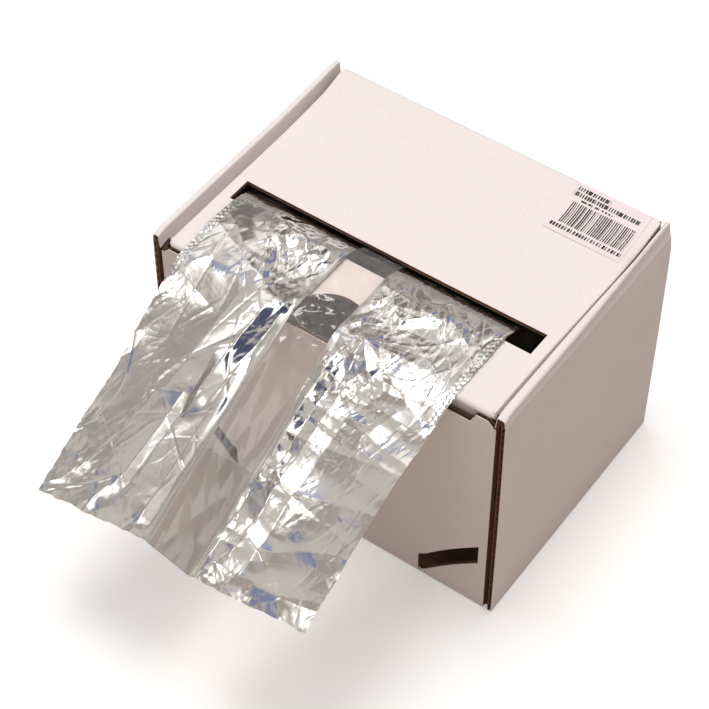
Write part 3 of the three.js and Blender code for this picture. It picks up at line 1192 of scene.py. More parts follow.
@dataclass
class Lid(Maker):
    """The lid with its web slot and finger notch, its creases, its three flaps and its label."""

    left: float = -58.9
    right: float = 58.9
    turn: float = 0.5
    top: float = 93.5
    front: float = -44.9
    back: float = 45.0
    slot_half: float = 55.5
    slot_y: Point = (-20.5, -11.3)
    notch: float = 13.0
    notch_y: float = -46.4
    flap_half: float = 56.0
    flap_y: float = -45.4
    flap_lean: float = 8.0
    flap_pivot: Point = (-44.4, 91.7)
    label_corner: Point = (30.6, 25.6)
    label_size: Point = (27.0, 20.6)

    def _warp(self, rows: np.ndarray) -> np.ndarray:
        """Lifts the lid towards its back crease, lets it sag elsewhere and skews its right edge.

        Args:
            rows: the lid's points.

        Returns:
            The points, moved.
        """
        x, y = rows[:, 0], rows[:, 1]
        across = 0.35 * np.cos(np.clip(x / 58.0, -1, 1) * math.pi / 2)
        sag = across * np.cos(np.clip(y / 45.0, -1, 1) * math.pi / 2)
        rows[:, 2] += lid_rise(x, y) - sag
        rows[:, 0] += 1.3 * smooth(x, 50.0, 58.0) * smooth(y, -35.0, 45.0) * smooth(rows[:, 2], 90.8, 92.5)
        return rows

    def panel(self) -> None:
        """The lid's panel, with the slot and the notch."""
        half, (low, high) = self.slot_half, self.slot_y
        slot = [(-half, low), (half, low), (half, high), (-half, high)]
        arc = bend((0.0, self.notch_y), self.notch, 0, 180, 6.0)
        notch = [(self.notch, -50.0), *arc, (-self.notch, -50.0)]
        cutters = [Bench.prism(outline, Plane.LEVEL, 85.0, 99.0) for outline in (slot, notch)]
        line = Line(straight((self.left, self.top), (self.right, self.top), 4.0))
        board = Board("lid_board", line, self.front, self.back, Plane.UPRIGHT, rows=30)
        piece = board.build(self.finishes, self.finishes.lid, cutters, self._warp)
        self.keep(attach(piece, "lid"), "white_board", "lid_panel")

    def back_crease(self) -> None:
        """The rounded ridge where the lid turns up from the back."""
        line = Line(
            straight((47.1, 90.6), (47.45, 91.7), 0.4),
            straight((47.5, 92.0), (47.5, 93.4), 0.7),
            bend((45.4, 93.4), 2.1, 0, 90, 10.0),
            straight((45.4, 95.5), (44.7, 95.45), 0.5),
        )
        crease = Crease("back_crease", line, Plane.SIDE, -58.8, 60.0, 1.3, outward=-1)

        def lift(rows: np.ndarray) -> np.ndarray:
            """Follows the lid's own lift, which is less at its right end."""
            rows[:, 2] += left_lift(rows[:, 0]) * smooth(rows[:, 2], 91.5, 95.2)
            return rows

        piece = crease.build(self.finishes.lid, lift)
        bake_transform(piece)
        self.keep(piece, "white_board")

    def tuck(self) -> None:
        """The crease along the lid's front edge, and the tuck flap under it."""
        line = Line(
            straight((-44.7, 93.5), (-45.0, 93.48), 0.2),
            bend((-45.0, 92.08), 1.4, 90, 180, 12.0),
            straight((-46.4, 92.08), (-45.7, 90.6), 0.6),
        )
        notch = self.notch
        spans = (("left", self.left - self.turn, -notch), ("right", notch, self.right + self.turn))
        for name, low, high in spans:
            crease = Crease(f"tuck_crease_{name}", line, Plane.SIDE, low, high, 1.0, outward=-1)
            piece = crease.build(self.finishes.lid, self._round_corner)
            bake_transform(piece)
            self.keep(piece, "white_board")
        outlines = [[(side * 56.5, 86.0), (side * 56.5, 69.0), (side * 49.5, 69.0)] for side in (-1, 1)]
        arc = bend((0.0, 93.4), notch, 180, 360, 8.0)
        outlines.append([*arc, (notch, 96.0), (-notch, 96.0)])
        cutters = [Bench.prism(outline, Plane.UPRIGHT, -50.0, -40.0) for outline in outlines]
        line = Line(straight((-self.flap_half, self.flap_y), (self.flap_half, self.flap_y)))
        board = Board("tuck_flap_board", line, 70.2, 91.4, Plane.LEVEL, (1.0, 1.0), outward=-1, rows=8)
        piece = board.build(self.finishes, self.finishes.face, cutters, self._lean)
        self.keep(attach(piece, "lid_front_flap"), "white_board", "tuck_flap")

    def _lean(self, rows: np.ndarray) -> np.ndarray:
        """Turns the tuck flap in under the lid.

        Args:
            rows: the flap's points.

        Returns:
            The points, moved.
        """
        angle, (pivot_y, pivot_z) = math.radians(self.flap_lean), self.flap_pivot
        y, z = rows[:, 1] - pivot_y, rows[:, 2] - pivot_z
        rows[:, 1] = pivot_y + y * math.cos(angle) - z * math.sin(angle)
        rows[:, 2] = pivot_z + y * math.sin(angle) + z * math.cos(angle)
        return rows

    def _round_corner(self, rows: np.ndarray) -> np.ndarray:
        """Turns the ends of the front crease down, as the lid's sides turn.

        Args:
            rows: the crease's points.

        Returns:
            The points, moved.
        """
        beyond = np.maximum(rows[:, 0] - self.right, self.left - rows[:, 0])
        share = np.clip(beyond / self.turn, 0, 1)
        rows[:, 2] -= self.turn * (1 - np.sqrt(1 - 0.98 * share**2))
        rows[:, 1] += 0.8 * share**2
        return rows

    def side_flaps(self) -> None:
        """The creases along the lid's sides, and the flaps that hang inside the walls."""
        for side, name in ((-1, "left"), (1, "right")):
            edge = abs(self.left if side < 0 else self.right)
            arc = [(side * x, z) for x, z in bend((edge, self.top - self.turn), self.turn, 90, 0, 12.0)]
            line = Line([(side * (edge - 0.4), self.top)], arc, [(side * (edge + self.turn), 91.0)])
            crease = Crease(f"lid_{name}_crease", line, Plane.UPRIGHT, -45.2, 45.6, 0.8, outward=side)
            piece = crease.build(self.finishes.lid, self._warp)
            flap = f"lid_{name}_side_flap"
            x = side * (edge + self.turn)
            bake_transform(piece)
            self.keep(piece, "white_board")
            low, high = sorted((side * 55.0, side * 62.0))
            tapers = [
                Bench.prism([(out, 90.5), (out, 70.0), (foot, 70.0), (top, 90.5)], Plane.SIDE, low, high)
                for out, foot, top in ((-50.0, -36.0, -44.0), (50.0, 38.0, 46.0))
            ]
            line = Line(straight((x, 91.0), (x, 74.0), 3.0))
            board = Board(
                f"lid_{name}_flap_board", line, -43.0, 46.0, Plane.UPRIGHT, (1.0, 1.0), outward=side, rows=10
            )
            piece = board.build(self.finishes, self.finishes.side, tapers)
            self.keep(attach(piece, flap), "white_board", f"lid_{name}_flap")

    def label(self) -> None:
        """The label, laid on the lid and following its lift."""

        def place(first: np.ndarray, second: np.ndarray) -> np.ndarray:
            """Lays the label on the lid.

            Args:
                first: each point's share of the label's length.
                second: each point's share of its width.

            Returns:
                The points' places.
            """
            x = self.label_corner[0] + self.label_size[0] * first
            y = self.label_corner[1] + self.label_size[1] * second
            z = self.top + 0.06 + lid_rise(x, y)
            return np.stack([x, y, z], axis=1)

        piece = Bench.skin("label_sheet", 24, 24, place, 0.12, self.finishes.label, 1.0)
        Bench.soften(piece)
        self.keep(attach(piece, "lid"), "label_paper", "label")

    def build(self) -> list[Piece]:
        """Makes every piece of the lid.

        Returns:
            The pieces.
        """
        self.panel()
        self.back_crease()
        self.tuck()
        self.side_flaps()
        self.label()
        return self.pieces


# ---------------------------------------------------------------- roll and web


@dataclass
class Roll(Maker):
    """The core tube and the three windings side by side on it."""

    y: float = 2.0
    z: float = 38.3
    core_ends: Point = (-54.8, 48.2)
    core_inner: float = 12.5
    core_outer: float = 15.0
    core_rim: float = 0.35
    radius: float = 36.0
    layer_step: float = 0.35
    wobble: float = 0.5

    def _turned(self, name: str, profile: Sequence[Point], wobble: float, seed: int) -> Piece:
        """Turns a closed profile of (x, radius) points round the roll's axis.

        Args:
            name: the piece's name.
            profile: the profile's corners, in order.
            wobble: how far the outer face wanders from round, in millimetres.
            seed: picks the wandering.

        Returns:
            The closed ring.
        """
        corners = np.array([*profile, profile[0]])
        steps = 160
        creases = Crumple(seed)

        def place(first: np.ndarray, second: np.ndarray) -> np.ndarray:
            """Lays the grid round the axis.

            Args:
                first: each point's share of the profile.
                second: each point's share of the turn.

            Returns:
                The points' places.
            """
            index = np.rint(first * (len(corners) - 1)).astype(int)
            x, radius = corners[index, 0], corners[index, 1].copy()
            turn = second * math.tau
            outer = radius > self.radius - 0.6
            wander = creases.cloud(40 * np.cos(turn) + 0.3 * x, 40 * np.sin(turn) + 50, 9.0) - 0.5
            radius += outer * wobble * wander
            return np.stack([x, self.y + radius * np.sin(turn), self.z + radius * np.cos(turn)], axis=1)

        piece = Bench.sheet(name, len(corners) - 1, steps, place)
        Bench.take(piece)
        bpy.ops.object.mode_set(mode="EDIT")
        bpy.ops.mesh.select_all(action="SELECT")
        bpy.ops.mesh.remove_doubles(threshold=1e-6)
        bpy.ops.mesh.normals_make_consistent(inside=False)
        bpy.ops.object.mode_set(mode="OBJECT")
        Bench.soften(piece, 40.0)
        return piece

    def _put(self, piece: Piece, material: Material, slot: str, node: str) -> None:
        """Dresses a piece and puts it on the roll."""
        Bench.dress(piece, material)
        self.keep(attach(piece, "roll"), slot, node)

    def _core(self) -> None:
        """The core tube, with its rims eased."""
        (low, high), rim = self.core_ends, self.core_rim
        inner, outer = self.core_inner, self.core_outer
        profile = [
            (low, inner + rim), (low + rim, inner), (high - rim, inner), (high, inner + rim),
            (high, outer - rim), (high - rim, outer), (low + rim, outer), (low, outer - rim),
        ]
        tube = self._turned("core_board_tube", profile, 0.0, 3)
        self._put(tube, self.finishes.core, "core_board", "core_tube")

    def build(self) -> list[Piece]:
        """Makes the core and the windings, whose ends are stepped as wound layers are.

        Returns:
            The pieces.
        """
        self._core()
        rng = np.random.default_rng(17)
        radii = np.linspace(self.core_outer + 0.3, self.radius, 16)
        bands = (("left_foil", -53.3, -10.85), ("clear_film", -10.55, 4.25), ("right_foil", 4.55, 46.7))
        for index, (name, left, right) in enumerate(bands):
            ends = [
                [(edge + sign * self.layer_step * rng.random(), radius) for radius in radii]
                for edge, sign in ((left, 1), (right, -1))
            ]
            face = [(x, self.radius) for x in np.linspace(left, right, 20)[1:-1]]
            winding = self._turned(f"{name}_wound", ends[0] + face + ends[1][::-1], self.wobble, 40 + index)
            film = name == FILM.name
            material = self.finishes.film_roll if film else self.finishes.foil_roll
            self._put(winding, material, "film" if film else "foil", f"{name}_winding")
        return self.pieces


class Crumple:
    """Creases over a flat plan in millimetres, the same for the same seed."""

    cells = 97

    def __init__(self, seed: int) -> None:
        """Draws the lattice that the noise reads."""
        self.rng = np.random.default_rng(seed)
        self.lattice = self.rng.random((self.cells, self.cells))

    def cloud(self, x: np.ndarray, y: np.ndarray, size: float) -> np.ndarray:
        """Smooth noise over the plan.

        Args:
            x: the plan's first coordinate.
            y: the plan's second coordinate.
            size: how large its features are.

        Returns:
            The noise from 0 to 1.
        """
        x, y = x / size + 31.7, y / size + 47.3
        column, row = np.floor(x).astype(int), np.floor(y).astype(int)
        across, up = x - column, y - row
        across, up = across * across * (3 - 2 * across), up * up * (3 - 2 * up)

        def pick(right: int, above: int) -> np.ndarray:
            """The lattice's value at a corner of each point's cell."""
            return self.lattice[(row + above) % self.cells, (column + right) % self.cells]

        low = pick(0, 0) * (1 - across) + pick(1, 0) * across
        high = pick(0, 1) * (1 - across) + pick(1, 1) * across
        return low * (1 - up) + high * up

    def _set(
        self, x: np.ndarray, y: np.ndarray, spacing: float, middle: float, spread: float,
        wander: float, reach: float,
    ) -> tuple[np.ndarray, float, np.ndarray]:
        """Draws one set of lines side by side, which stray from straight.

        Args:
            x: the plan's first coordinate.
            y: the plan's second coordinate.
            spacing: the usual distance from line to line.
            middle: the middle of the directions that lines are stepped along, in radians.
            spread: how far directions lie from it.
            wander: how far the lines stray, in their own distance.
            reach: how long a stray is, in the same.

        Returns:
            Each point's number of steps across the set, the step in millimetres, and four shifts.
        """
        angle = middle + spread * (self.rng.random() - 0.5)
        gap = spacing * (0.6 + 0.9 * self.rng.random())
        shift = 100 * self.rng.random(4)
        stray = wander * gap * 2 * (self.cloud(x + shift[0], y + shift[1], reach * gap) - 0.5)
        return (x * math.cos(angle) + y * math.sin(angle) + stray) / gap + shift[2], gap, shift

    def folds(
        self, x: np.ndarray, y: np.ndarray, spacing: float, slope: float, count: int,
        around: float = 0.0, spread: float = math.pi, pillow: float = 1.15,
    ) -> np.ndarray:
        """Sharp folds in several directions, each set of which fades in and out.

        Args:
            x: the plan's first coordinate.
            y: the plan's second coordinate.
            spacing: the usual distance from fold to fold.
            slope: the steepness of each set's facets.
            count: how many sets cross.
            around: the middle direction that the folds are stepped along, in radians.
            spread: how far directions lie from it.
            pillow: 1 leaves the facets flat, and more than 1 crowns them.

        Returns:
            The height in millimetres.
        """
        height = np.zeros_like(x)
        for _ in range(count):
            along, gap, shift = self._set(x, y, spacing, around, spread, 0.5, 2.3)
            wave = (2 * np.abs(along - np.floor(along) - 0.5)) ** pillow
            fade = smooth(self.cloud(x - shift[3], y + shift[2], 3.0 * gap), 0.3, 0.7)
            height += slope * gap / 2 * wave * fade
        return height - height.mean()

    def ridges(
        self, x: np.ndarray, y: np.ndarray, spacing: float, rise: float, width: float, count: int,
        around: float = 0.0, spread: float = math.pi,
    ) -> np.ndarray:
        """Thin raised or sunk lines, as a crease leaves that has been pulled flat again.

        Args:
            x: the plan's first coordinate.
            y: the plan's second coordinate.
            spacing: the usual distance from line to line.
            rise: how high a line stands.
            width: its half width.
            count: how many sets of lines there are.
            around: the middle direction that the lines are stepped along, in radians.
            spread: how far directions lie from it.

        Returns:
            The height in millimetres.
        """
        height = np.zeros_like(x)
        for index in range(count):
            along, gap, shift = self._set(x, y, spacing, around, spread, 0.45, 1.7)
            away = (along - np.floor(along) - 0.5) * gap
            fade = smooth(self.cloud(x - shift[3], y + shift[2], 1.9 * gap), 0.42, 0.72)
            height += (-1) ** index * rise * np.exp(-((away / width) ** 2)) * fade
        return height


@dataclass(frozen=True)
class Fold:
    """A long fold in the web between two ends, each an x and a distance along the web.

    Its crest falls off over a short width on its right and a longer one on its left.
    """

    start: Point
    end: Point
    rise: float
    steep: float
    gentle: float

    def height(self, x: np.ndarray, along: np.ndarray) -> np.ndarray:
        """How far the fold lifts the web.

        Args:
            x: how far right each point lies.
            along: its distance along the web from the slot.

        Returns:
            The lift of each point in millimetres.
        """
        run = np.array(self.end) - np.array(self.start)
        length = float(np.linalg.norm(run))
        run /= length
        forward = (x - self.start[0]) * run[0] + (along - self.start[1]) * run[1]
        aside = (x - self.start[0]) * run[1] - (along - self.start[1]) * run[0]
        profile = np.where(aside > 0, 1 - aside / self.steep, 1 + aside / self.gentle)
        ends = smooth(forward, -2.0, 9.0) * (1 - smooth(forward, length - 9.0, length + 2.0))
        return self.rise * np.clip(profile, 0, 1) * ends


@dataclass(frozen=True)
class Region:
    """A soft oval on the web's plan, by its middle and half lengths."""

    x: float
    along: float
    across_half: float
    along_half: float

    def share(self, x: np.ndarray, along: np.ndarray) -> np.ndarray:
        """How much each point belongs to the region, from 0 to 1, by its place on the plan."""
        far = np.hypot((x - self.x) / self.across_half, (along - self.along) / self.along_half)
        return 1 - smooth(far, 0.55, 1.15)


@dataclass(frozen=True)
class Strip:
    """One of the three bands of the web, by its two edges."""

    name: str
    left: float
    right: float
    seed: int

    @property
    def width(self) -> float:
        """The band's width."""
        return self.right - self.left

    def across(self, share: np.ndarray) -> np.ndarray:
        """The X of each share of the band's width."""
        return self.left + self.width * share


@dataclass(frozen=True)
class FoilStrip(Strip):
    """A foil band, with the places where it is creased most, least and roughly, and its long folds.

    It is trimmed along its outer edge, from which inward points to the film.
    """

    inward: int
    dense: Region
    calm: Region
    rough: Region
    folds: tuple[Fold, ...]

    @property
    def trimmed(self) -> float:
        """The X of the trimmed edge."""
        return self.left if self.inward > 0 else self.right


@dataclass(frozen=True)
class Creasing:
    """One layer of small folds, and how strong it is on each part of a foil band."""

    spacing: float
    slope: float
    count: int
    spread: float
    pillow: float
    usual: float
    less_hanging: float
    more_dense: float
    more_rough: float
    less_calm: float


FILM = Strip("clear_film", -10.9, 4.6, 29)
LEFT_FOIL = FoilStrip(
    "left_foil", -53.3, -10.7, 5, 1,
    dense=Region(-22.0, 20.0, 15.0, 13.0),
    calm=Region(-40.0, 58.0, 15.0, 28.0),
    rough=Region(-40.0, 104.0, 24.0, 14.0),
    folds=(
        Fold((-17.5, 33.0), (-23.5, 78.0), 2.7, 4.8, 11.0),
        Fold((-15.5, 52.0), (-17.0, 116.0), 1.5, 6.0, 9.0),
        Fold((-27.0, 66.0), (-31.0, 110.0), 0.9, 3.2, 9.0),
        Fold((-40.0, 6.0), (-22.0, 14.0), 0.8, 3.0, 7.0),
        Fold((-30.0, 18.0), (-27.0, 36.0), 0.9, 2.6, 5.0),
    ),
)
RIGHT_FOIL = FoilStrip(
    "right_foil", 4.4, 46.7, 71, -1,
    dense=Region(14.0, 25.0, 11.0, 8.0),
    calm=Region(31.0, 82.0, 20.0, 46.0),
    rough=Region(10.0, 70.0, 8.0, 40.0),
    folds=(
        Fold((8.5, 40.0), (7.0, 88.0), 1.9, 3.6, 4.0),
        Fold((16.0, 52.0), (13.0, 112.0), 1.5, 6.0, 7.0),
        Fold((11.0, 30.0), (25.0, 47.0), 1.6, 4.0, 7.0),
        Fold((37.0, 44.0), (28.0, 62.0), 1.0, 4.0, 8.0),
        Fold((30.0, 12.0), (14.0, 24.0), 0.8, 3.0, 7.0),
    ),
)
SMALL_FOLDS = (
    Creasing(8.0, 0.05, 5, 2.2, 1.3, 1.5, 1.0, 1.6, 0.5, 0.5),
    Creasing(3.8, 0.11, 5, math.pi, 1.4, 0.2, 0.17, 0.7, 0.2, 0.8),
    Creasing(2.0, 0.08, 4, math.pi, 1.3, 0.08, 0.08, 0.3, 0.1, 0.9),
)


@dataclass
class Web(Maker):
    """The web from the roll up through the slot, over the lid and down in front of the box."""

    # The side line of the hanging web: up through the slot, over its front lip and the lid's edge.
    path: tuple[Point, ...] = (
        (-12.4, 91.2), (-14.4, 92.4), (-17.0, 93.5), (-19.6, 94.2), (-22.5, 94.5), (-26.0, 94.6),
        (-30.0, 94.6), (-36.0, 94.55), (-41.0, 94.5), (-45.5, 94.4), (-48.6, 93.6), (-52.0, 92.1),
        (-58.0, 89.2), (-65.0, 85.6), (-72.0, 82.0), (-87.0, 74.2), (-102.0, 66.6), (-112.0, 61.7),
        (-120.5, 57.5),
    )
    # Where the sides hang lower or higher than the middle line, by x.
    hang: tuple[Point, ...] = (
        (-53.3, -5.0), (-32.0, -1.5), (-10.7, 1.8), (4.4, -2.6), (25.0, 0.5), (46.7, 5.0)
    )
    # Where the web leaves the roll, in Y and Z.
    off_roll: Point = (20.3, 70.2)
    foil_thickness: float = 0.06
    film_thickness: float = 0.05
    sharpest: float = 60.0
    seam_seed: int = 7

    def __post_init__(self) -> None:
        """Rounds the side line off, by cutting its corners three times."""
        rows = np.array(self.path)
        for _ in range(3):
            cut = np.empty((2 * len(rows) - 2, 2))
            cut[0::2] = 0.75 * rows[:-1] + 0.25 * rows[1:]
            cut[1::2] = 0.25 * rows[:-1] + 0.75 * rows[1:]
            rows = np.vstack([rows[:1], cut, rows[-1:]])
        self.line = Line([tuple(row) for row in rows])

    def _surface(self, x: np.ndarray, along: np.ndarray, height: np.ndarray) -> np.ndarray:
        """Places of points of the hanging web.

        Args:
            x: how far right each point lies.
            along: its distance along the web from the slot.
            height: how far it stands off the smooth surface.

        Returns:
            One row of X, Y and Z for each point.
        """
        y, z = self.line.at(along, -height)
        twist = np.interp(x, *zip(*self.hang))
        z = z + twist * smooth(-y, 47.0, 84.0)
        return np.stack([x, y, z], axis=1)

    def _foil_height(self, strip: FoilStrip, x: np.ndarray, along: np.ndarray) -> np.ndarray:
        """The creases of one foil band over its smooth surface.

        Args:
            strip: the band.
            x: how far right each point lies.
            along: its distance along the web from the slot.

        Returns:
            How far each point stands off the smooth surface.
        """
        creases = Crumple(strip.seed)
        dense, calm, rough = (part.share(x, along) for part in (strip.dense, strip.calm, strip.rough))
        # Flat against the slot's lip, and free to belly once over it.
        free = smooth(along, 3.0, 12.0)
        hanging = smooth(along, 30.0, 48.0)
        height = 1.2 * free * (creases.cloud(x, along, 17.0) - 0.35)
        height += hanging * 1.2 * (creases.cloud(x + 60, along * 0.5, 15.0) - 0.5)
        height += creases.folds(x, along, 17.0, 0.06, 4, pillow=1.5) * free * (1.2 - 0.2 * calm)
        for c in SMALL_FOLDS:
            folds = creases.folds(x, along, c.spacing, c.slope, c.count, spread=c.spread, pillow=c.pillow)
            strength = c.usual - c.less_hanging * hanging + c.more_dense * dense + c.more_rough * rough
            height += folds * strength * (1 - c.less_calm * calm)
        lines = creases.ridges(x, along, 16.0, 0.12, 0.45, 5, spread=1.5)
        lines += creases.ridges(x, along, 7.0, 0.07, 0.38, 5, around=0.2, spread=2.6)
        height += lines * (1.3 - 0.4 * hanging) * (1 - 0.4 * calm)
        height += sum(fold.height(x, along) for fold in strip.folds)
        height *= smooth(along, -2.0, 9.0)
        return height + 0.1 * smooth(along, self.line.length - 6.0, self.line.length)

    def _joined(
        self, x: np.ndarray, along: np.ndarray, height: np.ndarray, edges: Sequence[float]
    ) -> np.ndarray:
        """Brings the height near each joint between foil and film to the one that both sides share.

        Args:
            x: how far right each point lies.
            along: its distance along the web from the slot.
            height: how far it stands off the smooth surface.
            edges: the X of each joint.

        Returns:
            The heights, joined.
        """
        seam = Crumple(self.seam_seed)
        for edge in edges:
            shared = 0.9 * (seam.cloud(x * 0 + 40 * edge, along, 13.0) - 0.35) * smooth(along, 3.0, 14.0)
            near = smooth(np.abs(x - edge), 3.2, 0.5)
            height = height * (1 - near) + shared * near
        return height

    @staticmethod
    def _crimp(x: np.ndarray, along: np.ndarray, edge: float, inward: int) -> np.ndarray:
        """Rows of small punched dimples beside a trimmed edge, on the lid.

        Args:
            x: how far right each point lies.
            along: its distance along the web from the slot.
            edge: the X of the trimmed edge.
            inward: 1 where the band is on the edge's right, and -1 where it is on its left.

        Returns:
            The dimples' height, which is below 0.
        """
        first_row, row_gap, pitch = 0.8, 1.3, 1.9
        depth = np.zeros_like(x)
        for row in range(2):
            away = inward * (x - edge) - first_row - row_gap * row
            step = (along + 0.8 * row) / pitch
            near = (step - np.rint(step)) * pitch
            depth += np.exp(-(away**2 + near**2) / 0.1)
        return -0.32 * depth * smooth(along, 4.0, 7.0) * (1 - smooth(along, 40.0, 48.0))

    def _foil(self, strip: FoilStrip) -> Piece:
        """Makes one foil band, creased and trimmed.

        Args:
            strip: the band.

        Returns:
            The finished piece.
        """
        creases = Crumple(strip.seed + 300)
        joint = FILM.left if strip.inward > 0 else FILM.right

        def place(first: np.ndarray, second: np.ndarray) -> np.ndarray:
            """Lays the grid on the creased web.

            Args:
                first: each point's share of the width.
                second: each point's share of the length.

            Returns:
                The points' places.
            """
            x, along = strip.across(first), self.line.length * second
            height = self._joined(x, along, self._foil_height(strip, x, along), [joint])
            height += self._crimp(x, along, strip.trimmed, strip.inward)
            # Where it lies on the lid it can't sink into it, and it is held down at the slot.
            lying = 1 - smooth(along, 28.0, 36.0)
            eased = np.where(height < 0, height * (1 - 0.45 * lying), height)
            rows = self._surface(x, along, np.maximum(eased, -0.8 - 9.0 * (1 - lying)))
            nearness = smooth(np.abs(x - strip.trimmed), 3.0, 0.0)
            rows[:, 0] += strip.inward * nearness * 0.45 * (creases.cloud(along, x * 0, 1.3) - 0.3)
            bottom = smooth(along, self.line.length - 5.0, self.line.length)
            rows[:, 2] += bottom * 1.0 * (creases.cloud(x, x * 0 + 9, 6.0) - 0.5)
            rows[:, 1] += bottom * 0.9 * (creases.cloud(x, x * 0 + 70, 2.6) - 0.5)
            return rows

        return Bench.skin(
            f"{strip.name}_band", 124, 340, place, self.foil_thickness, self.finishes.foil, -1.0
        )

    def _film(self) -> Piece:
        """Makes the clear strip, with a few long soft folds and sharp cross creases at the lid's edge.

        Returns:
            The finished piece.
        """
        creases = Crumple(FILM.seed)

        def place(first: np.ndarray, second: np.ndarray) -> np.ndarray:
            """Lays the grid on the smoother web.

            Args:
                first: each point's share of the width.
                second: each point's share of the length.

            Returns:
                The points' places.
            """
            x, along = FILM.across(first), self.line.length * second
            at_edge = np.exp(-(((along - 34.0) / 11.0) ** 2))
            height = 1.2 * np.sin(first * math.pi) * (creases.cloud(x, along, 17.0) - 0.4)
            height += creases.folds(x, along, 9.0, 0.05, 4, spread=1.6, pillow=1.6) * smooth(along, 4.0, 12.0)
            height += creases.folds(x, along, 5.0, 0.22, 4, around=math.pi / 2, spread=1.3) * at_edge
            height = self._joined(x, along, np.maximum(height, -0.4), [FILM.left, FILM.right])
            return self._surface(x, along, height - 0.08)

        return Bench.skin(
            f"{FILM.name}_band", 60, 300, place, self.film_thickness, self.finishes.film, -1.0
        )

    def _run(self, strip: Strip) -> Piece:
        """Makes the band's run from the roll up to the slot.

        Args:
            strip: the band.

        Returns:
            The finished piece, which stretches between the carton and the lid.
        """
        creases = Crumple(strip.seed + 700)
        start, end = np.array(self.off_roll), np.array(self.path[0])
        length = float(np.linalg.norm(end - start))
        way = (end - start) / length

        def place(first: np.ndarray, second: np.ndarray) -> np.ndarray:
            """Lays the grid on the straight run.

            Args:
                first: each point's share of the width.
                second: each point's share of the length.

            Returns:
                The points' places.
            """
            x, along = strip.across(first), length * second
            creased = creases.folds(x, along, 8.0, 0.16, 4) + creases.cloud(x, along, 12.0) - 0.5
            height = np.sin(second * math.pi) * creased
            y = start[0] + way[0] * along + way[1] * height
            z = start[1] + way[1] * along - way[0] * height
            return np.stack([x, y, z], axis=1)

        material = self.finishes.film if strip is FILM else self.finishes.foil
        piece = Bench.skin(f"{strip.name}_run", 70, 70, place, self.foil_thickness, material, -1.0)
        Bench.soften(piece, self.sharpest)
        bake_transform(piece)
        return piece

    def build(self) -> list[Piece]:
        """Makes the three bands and their runs to the roll.

        Returns:
            The pieces.
        """
        for strip in (LEFT_FOIL, FILM, RIGHT_FOIL):
            slot = "film" if strip is FILM else "foil"
            band = self._film() if strip is FILM else self._foil(strip)
            Bench.soften(band, self.sharpest)
            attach(band, "lid")
            self.keep(band, slot, f"{strip.name}_web")
            run = self._run(strip)
            self.keep(run, slot, f"{strip.name}_lead")
        return self.pieces


# ---------------------------------------------------------------- studio


@dataclass(frozen=True)
class Panel:
    """A patch of the surroundings, seen only in reflections and as light."""

    way: Way
    half_angle: float
    colour: Colour
    edge: float = 8.0


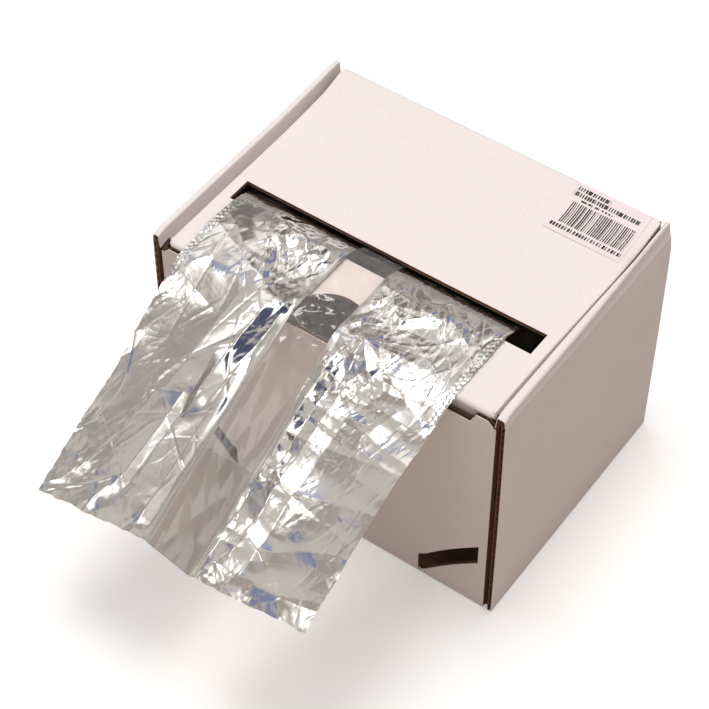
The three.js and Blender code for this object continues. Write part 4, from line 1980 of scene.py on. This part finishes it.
@dataclass
class Studio:
    """Floor, surroundings, lights and camera."""

    camera_place: Way = (0.25436, -0.38640, 0.57268)
    looking: Way = (-0.38030, 0.53087, -0.75733)
    rightward: Way = (0.81398, 0.58089, -0.00155)
    lens: float = 109.9
    sensor: float = 36.0
    aim: Way = (0.0, -0.03, 0.05)

    def floor(self) -> None:
        """A plain pale floor."""
        Bench.clear()
        bpy.ops.mesh.primitive_plane_add(size=6.0, location=(0, 0, -0.0002))
        ground = Bench.rename(bpy.context.object, "floor")
        finish = Finish("floor_paper", Roughness=0.9, Specular_IOR_Level=0.1)
        r = finish.recipe
        cloud = r.noise(finish.object_place, 3.0, 2.0)
        paper = r.mix(cloud, (0.97, 0.97, 0.97), (0.95, 0.95, 0.95))
        seen = r.node("LightPath").outputs["Is Camera Ray"]
        finish.set("Base Color", r.mix(seen, (0.52, 0.45, 0.39), paper))
        finish.set("Emission Color", (1.0, 1.0, 1.0, 1.0))
        finish.set("Emission Strength", r.math("MULTIPLY", seen, 0.22))
        Bench.dress(ground, finish.material)

    def surroundings(self) -> None:
        """A white backdrop for the camera, and a studio of pale and dark patches for the light."""
        world = bpy.data.worlds.new("studio")
        bpy.context.scene.world = world
        world.use_nodes = True
        world.node_tree.nodes.clear()
        r = Recipe(world.node_tree)
        way = r.node("TexCoord").outputs["Generated"]
        height = r.axis(way, "Z")
        glow = r.mix(r.ramp(height, 0.05, 0.7), (0.14, 0.12, 0.105), (0.72, 0.69, 0.67))
        tone = r.mix(r.ramp(height, 0.0, 0.5), (0.15, 0.13, 0.12), (0.56, 0.515, 0.465))
        bright, blue, dark = (1.9, 1.87, 1.8), (0.17, 0.215, 0.36), (0.02, 0.02, 0.03)
        panels = (
            Panel((-0.38, 0.53, 0.76), 11.0, (0.56, 0.515, 0.475)),
            Panel((-0.25, -0.20, 0.95), 7.0, (0.80, 0.75, 0.69), 9.0),
            Panel((-0.55, -0.38, 0.75), 6.0, (0.34, 0.305, 0.27), 9.0),
            Panel((-0.42, 0.10, 0.90), 8.0, blue, 2.5),
            Panel((-0.78, -0.45, 0.44), 7.0, blue, 3.0),
            Panel((0.05, 0.80, 0.60), 10.0, blue, 4.0),
            Panel((0.50, -0.05, 0.85), 9.0, blue, 4.0),
            Panel((-0.42, -0.62, 0.66), 5.0, bright, 5.0),
            Panel((-0.93, 0.12, 0.35), 7.0, bright, 4.0),
            Panel((-0.62, 0.32, 0.72), 6.0, (1.1, 1.07, 1.02), 6.0),
            Panel((0.05, -0.32, 0.945), 7.5, bright, 4.0),
            Panel((-0.12, 0.55, 0.82), 5.0, (1.1, 1.07, 1.02), 5.0),
            Panel((-0.45, 0.68, 0.58), 6.0, (0.17, 0.155, 0.15), 7.0),
            Panel((-0.85, 0.40, 0.36), 8.0, dark, 3.0),
            Panel((-0.05, -0.93, 0.36), 9.0, dark, 3.0),
            Panel((0.35, 0.35, 0.87), 6.0, dark, 3.0),
            Panel((0.45, -0.26, 0.85), 16.0, (0.045, 0.06, 0.12), 4.0),
        )
        for panel in panels:
            aim = tuple(Vector(panel.way).normalized())
            near = r.node("VectorMath", {0: way, 1: aim}, operation="DOT_PRODUCT").outputs["Value"]
            ends = (math.cos(math.radians(panel.half_angle + extra)) for extra in (panel.edge, 0.0))
            tone = r.mix(r.ramp(near, *ends), tone, panel.colour)
        path = r.node("LightPath").outputs
        light = r.node("Background", {"Color": r.mix(path["Is Glossy Ray"], glow, tone), "Strength": 1.0})
        paper = r.node("Background", {"Color": (1.0, 1.0, 1.0, 1.0), "Strength": 1.0})
        both = r.node("MixShader", {0: path["Is Camera Ray"], 1: light.outputs[0], 2: paper.outputs[0]})
        r.node("OutputWorld", {"Surface": both.outputs[0]})

    def lights(self) -> None:
        """A large soft light overhead and a weak warm one from the front right."""
        # Each light's name, place, size in metres, power in watts and colour.
        rows = (
            ("overhead", (-0.12, 0.02, 1.30), 0.5, 6.6, (1.0, 0.985, 0.965)),
            ("front_fill", (0.7, -1.3, 0.7), 0.6, 1.05, (1.0, 0.93, 0.86)),
        )
        for name, place, size, power, colour in rows:
            Bench.clear()
            bpy.ops.object.light_add(type="AREA", location=place)
            lamp = bpy.context.object
            lamp.name = name
            lamp.data.size, lamp.data.energy, lamp.data.color = size, power, colour
            shining = Vector(self.aim) - Vector(place)
            lamp.rotation_euler = shining.to_track_quat("-Z", "Y").to_euler()

    def camera(self) -> None:
        """The camera, high at the front right."""
        Bench.clear()
        bpy.ops.object.camera_add()
        camera = bpy.context.object
        camera.data.lens, camera.data.sensor_width = self.lens, self.sensor
        forward, right = Vector(self.looking).normalized(), Vector(self.rightward).normalized()
        up = right.cross(forward)
        turn = Matrix((right, up, -forward)).transposed().to_4x4()
        camera.matrix_world = Matrix.Translation(self.camera_place) @ turn
        camera.data.clip_start, camera.data.clip_end = 0.01, 20.0
        bpy.context.scene.camera = camera

    def build(self) -> None:
        """Sets the studio up."""
        self.floor()
        self.surroundings()
        self.lights()
        self.camera()
        view = bpy.context.scene.view_settings
        view.view_transform, view.look = "Standard", "None"


def main() -> None:
    """Builds the box in order and reports each piece."""
    logging.basicConfig(level=logging.INFO, format="%(message)s")
    Studio().build()
    finishes = Finishes()
    for maker in (Carton(finishes), Lid(finishes), Roll(finishes), Web(finishes)):
        for piece in maker.build():
            LOG.info("%s: %d faces", piece.name, len(piece.data.polygons))


if __name__ == "__main__":
    main()
